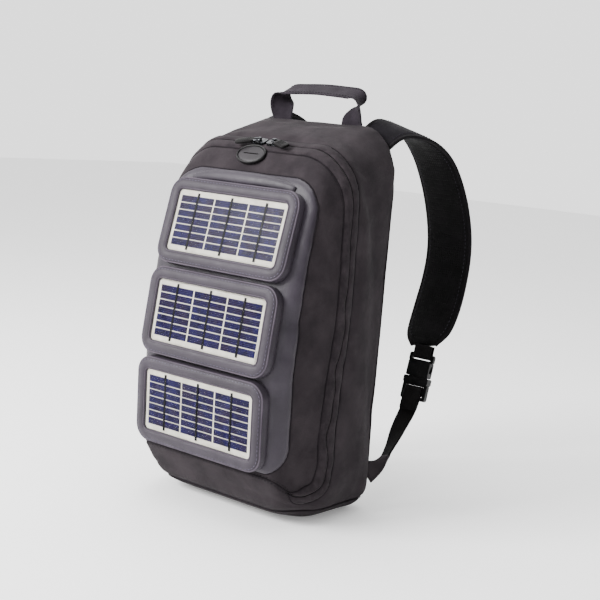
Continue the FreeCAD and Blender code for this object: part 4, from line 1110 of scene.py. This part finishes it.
def badge():
    """Plain oval badge: a rubber rim round a slightly domed disc."""
    angle = math.atan2(12, 10)
    centre = (-7, -19 - 3 * math.cos(angle), 421 - 3 * math.sin(angle))
    place = Matrix.Translation(centre) @ Matrix.Rotation(angle, 4, "X")
    outline, (wide, high) = [], BADGE_HALVES
    for t in np.arange(64) * math.pi / 32:
        nx, nz = unit((math.cos(t) / wide, math.sin(t) / high))
        outline.append((wide * math.cos(t), high * math.sin(t), nx, nz))
    for name, node, material, section in (
            ("badge_ring", "badge_rim", badge_rubber,
             [(0.3, -1.5), (-0.1, 0.6), (0.1, 1.8), (0.6, 2.7), (1.3, 3.1), (1.9, 2.8), (2.4, 2.0),
              (2.5, 1.2)]),
            ("badge_plate", "badge_disc", badge_face,
             [(2.45, 0.2), (2.5, 1.5), (3.2, 1.9), (5.0, 2.15), (7.5, 2.3), (9.5, 2.35),
              (11.3, 2.38)])):
        points = [place @ Vector((x - nx * inset, z - nz * inset, out))
                  for x, z, nx, nz in outline for inset, out in section]
        faces = grid(len(outline), len(section), closed=True, flip=True)
        if node == "badge_disc":
            faces.append(tuple(range(len(section) - 1, len(points), len(section))))
        Build().add(points, faces).piece(name, "lid", [material], node, [node])


carry_handle()
badge()
for side, sign in SIDES:
    zip_pull(side, sign)
    finish(f"zipper_slider_{side}", slider_metal, 0.35)


# ---------------------------------------------------------------- shoulder straps

STRAP_ROUTE = [         # x, y, z, width, thickness, drop of its outer edge
    (89, 91.0, 447.5, 42, 3, 0.62), (92, 108, 459, 44, 7, 0.50), (94, 126, 462, 46, 10, 0.38),
    (97, 154, 457, 51, 10, 0.22), (100, 179, 445.5, 55, 10, 0.12), (104, 200, 427, 58, 10, 0.05),
    (107.5, 217, 402, 60, 10, 0), (110.5, 232, 370, 62, 10, 0), (112, 243, 335, 63, 10, 0),
    (112.5, 246, 303, 63, 10, 0), (113, 240, 270, 64, 10, 0), (113.5, 229.5, 241, 65, 10, 0),
    (114.5, 217, 217.5, 62, 10, 0), (116, 206.5, 204, 54, 9, 0), (118.5, 197.3, 193, 34, 7, 0)]
STRAP_EDGE = 1.1        # half the strap's thickness at its edges
BUCKLE_LEAN = math.radians(76)
BUCKLE_SPOT = (121, 187, 153)   # where the plug enters the socket


def strap_swell(u, thick, wearer_side):
    """How far the strap's face stands off its middle plane; u is -1 to 1 across the strap."""
    share = 0.58 if wearer_side else 0.42
    return STRAP_EDGE + (thick * share - STRAP_EDGE) * (1 - abs(u) ** 3.0) ** 0.8


def strap_section(width, thick, sign):
    """Padded band: the side on the wearer swells more than the outer one."""
    across = np.linspace(-1, 1, 13)
    return ([(width / 2 * u, strap_swell(u, thick, sign > 0)) for u in across[::-1]]
            + [(width / 2 * u, -strap_swell(u, thick, sign < 0)) for u in across])


def shoulder_strap(side, sign):
    """Padded strap: cloth outside, mesh on the wearer's side, bound and stitched edges."""
    rows = through_points([(sign * x, *rest) for x, *rest in STRAP_ROUTE], 4.0)
    across, face = band_axes(rows, [np.array([sign, 0, -row[5]]) for row in rows])
    build = sweep(Build(), rows, across, lambda i: strap_section(rows[i, 3], rows[i, 4], sign),
                  slots=lambda k: int((k < 12) == (sign > 0)))
    for edge in (-1, 1):
        half = rows[:, 3:4] / 2
        border = np.hstack([rows[:, :3] + across * edge * (half - 1.2), face])
        tube(build, border, 2.9, 2, flat=0.78, sides=10)
        for out in (-1, 1):
            reach = half - 5.6
            swell = strap_swell(reach / half, rows[:, 4:5], out * sign > 0)
            line = np.hstack([rows[:, :3] + across * edge * reach + face * out * swell,
                              face * out])
            stitches(build, line[3:-2], 3, 3.0, 2.2)
    made = build.piece(f"padded_strap_{side}", "bag",
                       [strap_cloth, spacer_mesh, black_binding, pale_thread], "strap_mesh",
                       [f"shoulder_strap_{side}"])


def on_buckle(sign, x, y, z):
    """A point given in the buckle's own leaning axes."""
    c, s = math.cos(BUCKLE_LEAN), math.sin(BUCKLE_LEAN)
    spot = BUCKLE_SPOT
    return np.array([sign * spot[0] + x, spot[1] + y * c - z * s, spot[2] + y * s + z * c])


def strap_ends(side, sign):
    """Webbing above the buckle, and the lower webbing from its ladder lock to the tab."""
    loop = [on_buckle(sign, 0, y, z) for y, z in ((41, 3.2), (36, 3.4), (30, 3.5), (26.2, 3.3),
                                                  (24.3, 1.7), (24.0, 0), (24.3, -1.7),
                                                  (26.2, -3.3), (30, -3.5), (36, -3.4), (41, -3.2))]
    path = through_points(loop, 2.0)
    build = sweep(Build(), path, np.tile((1, 0, 0), (len(path), 1)),
                  lambda i: band_outline(25, 1.8))
    build.piece(f"strap_webbing_{side}", "bag", [black_webbing], "webbing_dark",
                [f"upper_webbing_{side}"])
    run = [(sign * 120.8, 124, 54.5), (sign * 119.6, 133, 61), (sign * 118.5, 145, 73),
           (sign * 118, 157.5, 90), (sign * 119.5, 171, 110)]
    local = [(-31, 3.4), (-27.5, 3.9), (-24.4, 2.6), (-22.2, -1.6), (-18.5, -3.9), (-14.4, -2.6),
             (-12.9, 1.6), (-14.4, 5.0), (-19, 6.0), (-27, 7.4), (-36, 8.6), (-43, 8.2)]
    run += [tuple(on_buckle(sign, 0, y, z)) for y, z in local]
    path = through_points([(*p, 0) for p in run], 2.0)
    twist = 1 - smoothstep(path[:, 2], 58, 112)
    twist[len(path) // 2:] = 0
    across = np.array([(sign * (1 - 0.15 * t), -0.34 * t, 0.25 * t) for t in twist])
    gather = 1 - 0.32 * (1 - smoothstep(path[:, 2], 54, 86))
    gather[len(path) // 2:] = 1
    build = sweep(Build(), path, across, lambda i: band_outline(24 * gather[i], 1.7 / gather[i]))
    made = build.piece(f"ladder_webbing_{side}", None, [black_webbing], "webbing_dark",
                       [f"lower_webbing_{side}"])
    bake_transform(made)


def sewn_tab(side, sign):
    """Folded canvas tab that holds the lower webbing at the back corner."""
    rows = through_points([(sign * 121, 88, 44.5, 27), (sign * 121.5, 98, 47, 24),
                           (sign * 121.5, 112, 50.5, 19), (sign * 120.6, 130, 58.5, 15)], 3.0)
    turn = smoothstep(np.linspace(0, 1, len(rows)), 0.1, 1.0)
    across = np.array([(sign * (0.6 + 0.25 * t), -0.34 * t, -0.8 + 1.05 * t) for t in turn])
    build = sweep(Build(), rows, across, lambda i: band_outline(rows[i, 3], 3.4))
    side_way, face = band_axes(rows, across)
    for out in (face, -face):
        for edge in (-0.38, 0.38):
            line = np.hstack([rows[:, :3] + side_way * edge * rows[:, 3:4] + out * 1.7, out])
            stitches(build, line, 1)
    build.piece(f"sewn_tab_{side}", "bag", [canvas, thread], "body_fabric", [f"lower_tab_{side}"])


def plug_collar(side, sign):
    """Neck of the plug, which fills the socket's mouth when the buckle is closed."""
    path = np.array([(*on_buckle(sign, 0, y, 0), 0, 0, 1) for y in (-1.6, 2.4, 3.2)])
    size = (1.0, 1.0, 0.94)
    build = sweep(Build(), path, np.tile([1, 0, 0], (3, 1)),
                  lambda i: superellipse(13.0 * size[i], 2.9 * size[i], 0.3, 24))
    build.piece(f"plug_collar_{side}", f"plug_{side}", [black_plastic], "buckle_plastic")


for side, sign in SIDES:
    shoulder_strap(side, sign)
    strap_ends(side, sign)
    plug_collar(side, sign)
    sewn_tab(side, sign)
    finish(f"buckle_socket_{side}", black_plastic, 0.7)
    finish(f"buckle_plug_{side}", black_plastic, 0.7)
    for end in ("outer", "inner"):
        finish(f"buckle_prong_{side}_{end}", black_plastic, 0.4)


# ---------------------------------------------------------------- the back

PAD_MIDDLE = 50.0       # from the bag's middle to the middle of each pad and handle patch
BACK_FACE = 93.3        # just above the back's cloth


def flat_patch(name, outline, foot, thick, materials, slot_name, replaces=(), sewn=3.2):
    """Cloth patch sewn to the back panel. outline: (x, z, normal x, normal z), anticlockwise."""
    section = [(-0.2, -0.8), (-0.3, 0.3), (0.0, thick * 0.75), (0.8, thick), (2.6, thick)]
    points = [(x - nx * inset, foot + out, z - nz * inset)
              for x, z, nx, nz in outline for inset, out in section]
    faces = grid(len(outline), len(section), closed=True)
    faces.append(tuple(range(len(section) - 1, len(points), len(section)))[::-1])
    build = Build().add(points, faces)
    line = np.array([(x - nx * sewn, foot + thick, z - nz * sewn, 0, 1, 0)
                     for x, z, nx, nz in outline])
    stitches(build, line, 1, closed=True)
    build.piece(name, "bag", materials, slot_name, replaces)


def soft_corners(corners, radius=4.0, turn=5):
    """Outline with normals of a polygon (anticlockwise x, z) with rounded corners."""
    made, count = [], len(corners)
    for i, corner in enumerate(np.asarray(corners, float)):
        before = unit(corner - corners[i - 1])
        after = unit(corners[(i + 1) % count] - corner)
        turned = math.acos(min(max(float(before @ after), -1), 1))
        setback = radius * math.tan(turned / 2)
        first = math.atan2(-before[0], before[1])
        centre = corner - before * setback + np.array([-before[1], before[0]]) * radius
        for k in range(turn + 1):
            angle = first + turned * k / turn
            n = np.array([math.cos(angle), math.sin(angle)])
            made.append((*(centre + n * radius), *n))
    return made


PAD_LOW, PAD_HIGH, PAD_HALF, PAD_RADIUS = 67.0, 397.0, 36.0, 16.0
PAD_SEAMS = (177.0, 287.0)      # heights of the rows sewn across each pad
PAD_SHARES = (1.0, 0.99, 0.96, 0.9, 0.8, 0.66, 0.5, 0.34, 0.18, 0.05)    # rings of points


def pad_form(sign):
    """One pad before it is filled: a low crown on a flat base."""
    points = []
    outline = rounded(PAD_HALF, PAD_LOW, PAD_HIGH, PAD_RADIUS, PAD_RADIUS, 4.0, 8)
    for x, z, _, _ in outline:
        spine = min(max(z, PAD_LOW + PAD_HALF), PAD_HIGH - PAD_HALF)
        rings = [(share, 95.2 + 6.2 * (1 - share ** 5) ** 0.6) for share in PAD_SHARES]
        for share, y in rings + [(0.985, BACK_FACE)]:
            points.append((PAD_MIDDLE * sign + x * share, y, spine + (z - spine) * share))
    size, last = len(outline), len(PAD_SHARES)
    deep = last + 1
    faces = []
    for k in range(size):
        j = (k + 1) % size
        faces += [(j * deep + s, j * deep + s + 1, k * deep + s + 1, k * deep + s)
                  for s in range(last - 1)]
        faces.append((j * deep + last, j * deep, k * deep, k * deep + last))
    faces.append(tuple(k * deep + last - 1 for k in range(size))[::-1])
    faces.append(tuple(k * deep + last for k in range(size)))
    return Build().add(points, faces)


def back_pad(side, sign):
    """Foam pad in spacer mesh, sewn down across its length and bound round its edge."""
    pad = pad_form(sign).piece(f"back_pad_{side}", None, [back_mesh], None,
                               modifiers=[("REMESH", {"mode": "VOXEL", "voxel_size": 4 * MM})])
    flatten_modifiers(pad)
    points = coordinates(pad.data)
    cap = 0.3 + 2.4 * smoothstep(points[:, 1], 95, 98)
    inflate(pad, cap, 1 - smoothstep(points[:, 1], 94, 97))
    subdivide(pad)
    points = coordinates(pad.data)
    height = np.maximum(points[:, 1] - 94.3, 0)
    for seam in PAD_SEAMS:
        points[:, 1] -= height * 0.62 * np.exp(-((points[:, 2] - seam) / 4.5) ** 2)
    points += ripple(points, (16, 30, 16), 5.0)[:, None] * (0, 0.35, 0)
    set_coordinates(pad.data, points)
    pad.data.materials.clear()
    pad.data.materials.append(back_mesh)
    pad.data.polygons.foreach_set("use_smooth", [True] * len(pad.data.polygons))
    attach(pad, "bag")
    if sign < 0:
        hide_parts("back_pad")
    trim = Build()
    edge = np.array([(x + PAD_MIDDLE * sign, 94.6, z, 0, 1, 0) for x, z, _, _ in
                     rounded(PAD_HALF + 0.6, PAD_LOW - 0.6, PAD_HIGH + 0.6, PAD_RADIUS,
                             PAD_RADIUS, 4.0, 8)])
    tube(trim, edge, 1.5, closed=True)
    for seam in PAD_SEAMS:
        line = np.array([(PAD_MIDDLE * sign + x, 96.9, seam, 0, 1, 0)
                         for x in np.linspace(-31, 31, 20)])
        stitches(trim, line, 1, lift=0.3)
    trim.piece(f"pad_trim_{side}", "bag", [black_binding, pale_thread], "back_mesh")


def back_panel():
    """Mesh sheet with its piping, and the patches that hold the straps and the handle."""
    sheet = rounded(104, 44, 430, 34, 48, 6.0, 9)
    flat_patch("back_panel_mesh", sheet, 92.6, 0.9, [back_mesh, thread], "back_mesh", sewn=4.0)
    border = np.array([(x, BACK_FACE, z, 0, 1, 0) for x, z, _, _ in sheet])
    tube(Build(), border, 1.4, closed=True).piece("back_panel_piping", "bag", [black_binding],
                                                  "back_mesh")
    for side, sign in SIDES:
        corners = [(62, 400), (98, 400), (106, 429), (72, 452)]
        if sign < 0:
            corners = [(-x, z) for x, z in corners[::-1]]
        flat_patch(f"yoke_patch_{side}", soft_corners(corners), BACK_FACE, 2.4,
                   [canvas, pale_thread], "body_fabric", [f"strap_yoke_{side}"])
        patch = [(x + PAD_MIDDLE * sign, z + 446, nx, nz)
                 for x, z, nx, nz in rounded(14, -9, 9, 3, 3, 5.0, 4)]
        flat_patch(f"handle_patch_{side}", patch, BACK_FACE, 1.6, [canvas, pale_thread],
                   "body_fabric", ["handle_anchor_patches"] if sign < 0 else (), sewn=2.4)


def seam_ring(name, value, radius):
    """Piping along a level of the bag's skin; its darker seam cloth is painted shade for the seam's
    shadow line.
    """
    path, closed = clip(form, form_faces, value)[2][0]
    path = relax(resample(path[:, :6], 2.5, closed), 8, closed)
    build = tube(Build(), raised(path, 0.5), radius, closed=closed)
    build.piece(name, "bag", [painted_shade_seam_cloth, thread], "body_fabric")


back_panel()
for side, sign in SIDES:
    back_pad(side, sign)
seam_ring("base_piping", form[:, 2] - 14.5, 1.0)
outline_value = np.array([rounded_distance(p[0], p[2], 119, 22, 459, 30, 76) for p in form])
outline_value = np.where(form[:, 1] > 70, outline_value, 50.0)
seam_ring("back_piping", outline_value, 1.3)


# ---------------------------------------------------------------- inside

def pocket_sheet(name, corners, low, high, bulge, body, replaced, seed):
    """Soft open-topped pocket: a sheet round a U of corners (x, y), bound along its top."""
    path = through_points([(x, y, 0) for x, y in corners], 5.0)
    path = resample(path, 5.0)[:, :2]
    step = np.gradient(path, axis=0)
    out = np.column_stack([step[:, 1], -step[:, 0]])
    out /= np.linalg.norm(out, axis=1, keepdims=True)
    levels = np.linspace(low, high, int((high - low) / 6) + 2)
    points, wide = [], len(path)
    for z in levels:
        rise = (z - low) / (high - low)
        for k in range(wide):
            inner = math.sin(math.pi * k / (wide - 1))
            swell = bulge * inner * math.sin(math.pi * min(rise * 1.15, 1)) ** 0.7
            swell += 1.0 * inner * noise.noise(Vector((k * 5 / 28, z / 40, seed)))
            swell += 0.7 * rise ** 4 * math.sin(k * 1.9)
            points.append((path[k][0] + out[k][0] * swell, path[k][1] + out[k][1] * swell, z))
    top = np.array([(*p, 0, 0, 1) for p in points[-wide:]], float)
    Build().add(points, grid(len(levels), wide)).piece(
        name, body, [lining], "lining", replaced,
        [("SOLIDIFY", {"thickness": 1.4 * MM, "offset": 0.0})])
    trim = tube(Build(), top, 2.2, flat=1.5)
    line = top.copy()
    line[:, 2] -= 8
    line[:, 3:5], line[:, 5] = out, 0
    line[:, :2] += out * 0.8
    stitches(trim, line, 1)
    trim.piece(f"{name}_binding", body, [black_binding, pale_thread], "lining")


def case_details():
    """Status lights, screws and ribs on the electronics."""
    lights = Build()
    green = Shader("status_light", Roughness=0.25, Coat_Weight=0.6)
    green.colour(green.blend(green.noise(1.5), rgb("4f7f4a"), rgb("8fc07f")))
    green.bump((green.noise(0.8), 0.02))

    def dome(build, centre, radius, slot, axis=(0, 1, 0)):
        path = np.array([(*(np.array(centre) + np.array(axis) * t), 0, 0, 1)
                         for t in (-0.3, 0.15, 0.45)])
        ring = [1.0, 0.85, 0.35]
        sweep(build, path, np.tile([1, 0, 0], (3, 1)),
              lambda i: ellipse(2 * radius * ring[i], 2 * radius * ring[i], 12), slot)
    for k in range(4):
        dome(lights, (-70 + 8 * k, -44, 190), 1.5, 0)
    dome(lights, (76, -30, 190), 1.5, 0)
    for x, z in ((-83, 83), (3, 83), (72, 140), (90.4, 140), (72, 196), (90.4, 196)):
        dome(lights, (x, -44 if x < 20 else -30, z), 2.0, 1)
    for k in range(9):
        z = 92 + 9 * k
        path = np.array([(x, -43.9, z, 0, 1, 0) for x in np.linspace(-78, -2, 12)])
        tube(lights, path, 0.8, 2, sides=6)
    lights.piece("case_details", "lid", [green.material, slider_metal, battery_plastic],
                 "electronics_case")


pocket_sheet("laptop_pouch", [(-106, 89), (-106.5, 76), (-103, 67), (-92, 65), (0, 64.6), (92, 65),
                              (103, 67), (106.5, 76), (106, 89)][::-1], 22, 303, -1.5, "bag",
             ["laptop_sleeve"], 2.0)
pocket_sheet("battery_pouch", [(-89.5, -66), (-90, -50), (-87, -42.6), (-40, -42), (7, -42.6),
                               (10, -50), (9.5, -66)][::-1], 76, 177, 0.8, "lid",
             ["battery_pocket"], 9.0)
case_details()
for place, material, rounding in (
        ("battery_pack", battery_plastic, 1.5), ("charge_controller", case_plastic, 0.8),
        ("lead_combiner", case_plastic, 0.8), ("panel_harness", cable_rubber, 0),
        ("base_stiffener", board_plastic, 0.6)):
    finish(place, material, rounding)


# ---------------------------------------------------------------- camera, light and floor

DIM_SIDE = (0.97, 0.1, 0.2)       # the studio is darker to the right of the bag
BRIGHT, DIM = 2.0, 0.25
LAMPS = (("key", (-900, -1600, 1250), 900, 95),       # name, place, size, watts
         ("top", (-200, 200, 1900), 1200, 22))
LAMP_TARGET = (0, 0, 0.25)
FLOOR_HALF = 6000
CAMERA_SPOT = (0.909, -1.0961, 0.469)                 # metres
CAMERA_AXES = ((0.7821, 0.6177, 0.0824), (-0.1584, 0.0691, 0.9849),     # right, up and back
               (0.6027, -0.7833, 0.1519))
FOCAL_LENGTH = 72


def stage():
    """Pale floor, soft lights, a bright surround, and the camera."""
    corners = [(FLOOR_HALF * x, FLOOR_HALF * y, -0.4)
               for x, y in ((-1, -1), (1, -1), (1, 1), (-1, 1))]
    floor = Build().add(corners, [(0, 1, 2, 3)])
    s = Shader("floor_paper", Roughness=0.9, Emission_Color=(1, 1, 1, 1), Emission_Strength=0.2)
    s.colour(s.blend(s.noise(600), rgb("f6f6f6"), rgb("fafafa")))
    s.bump((s.noise(3), 0.05))
    floor.piece("floor", None, [s.material])
    world = bpy.data.worlds.new("studio")
    bpy.context.scene.world = world
    world.use_nodes = True
    sky = world.node_tree
    background = sky.nodes["Background"]
    background.inputs["Color"].default_value = (1, 1, 1, 1)
    aim = sky.nodes.new("ShaderNodeVectorMath")
    aim.operation = "DOT_PRODUCT"
    aim.inputs[1].default_value = DIM_SIDE
    sky.links.new(sky.nodes.new("ShaderNodeTexCoord").outputs["Generated"], aim.inputs[0])
    dim = sky.nodes.new("ShaderNodeMapRange")
    dim.inputs["From Min"].default_value, dim.inputs["From Max"].default_value = 0.1, 0.9
    dim.inputs["To Min"].default_value, dim.inputs["To Max"].default_value = BRIGHT, DIM
    sky.links.new(aim.outputs["Value"], dim.inputs["Value"])
    sky.links.new(dim.outputs["Result"], background.inputs["Strength"])
    for name, spot, size, power in LAMPS:
        light = bpy.data.lights.new(name, "AREA")
        light.size = size * MM
        light.energy = power
        lamp = bpy.data.objects.new(name, light)
        lamp.location = [c * MM for c in spot]
        towards = Vector(LAMP_TARGET) - lamp.location
        lamp.rotation_euler = towards.to_track_quat("-Z", "Y").to_euler()
        bpy.context.scene.collection.objects.link(lamp)
    lens = bpy.data.cameras.new("camera")
    lens.lens, lens.sensor_width = FOCAL_LENGTH, 36
    camera = bpy.data.objects.new("camera", lens)
    turn = Matrix(CAMERA_AXES).transposed().to_4x4()
    camera.matrix_world = Matrix.Translation(CAMERA_SPOT) @ turn
    bpy.context.scene.collection.objects.link(camera)
    bpy.context.scene.camera = camera


stage()
bpy.context.view_layer.update()
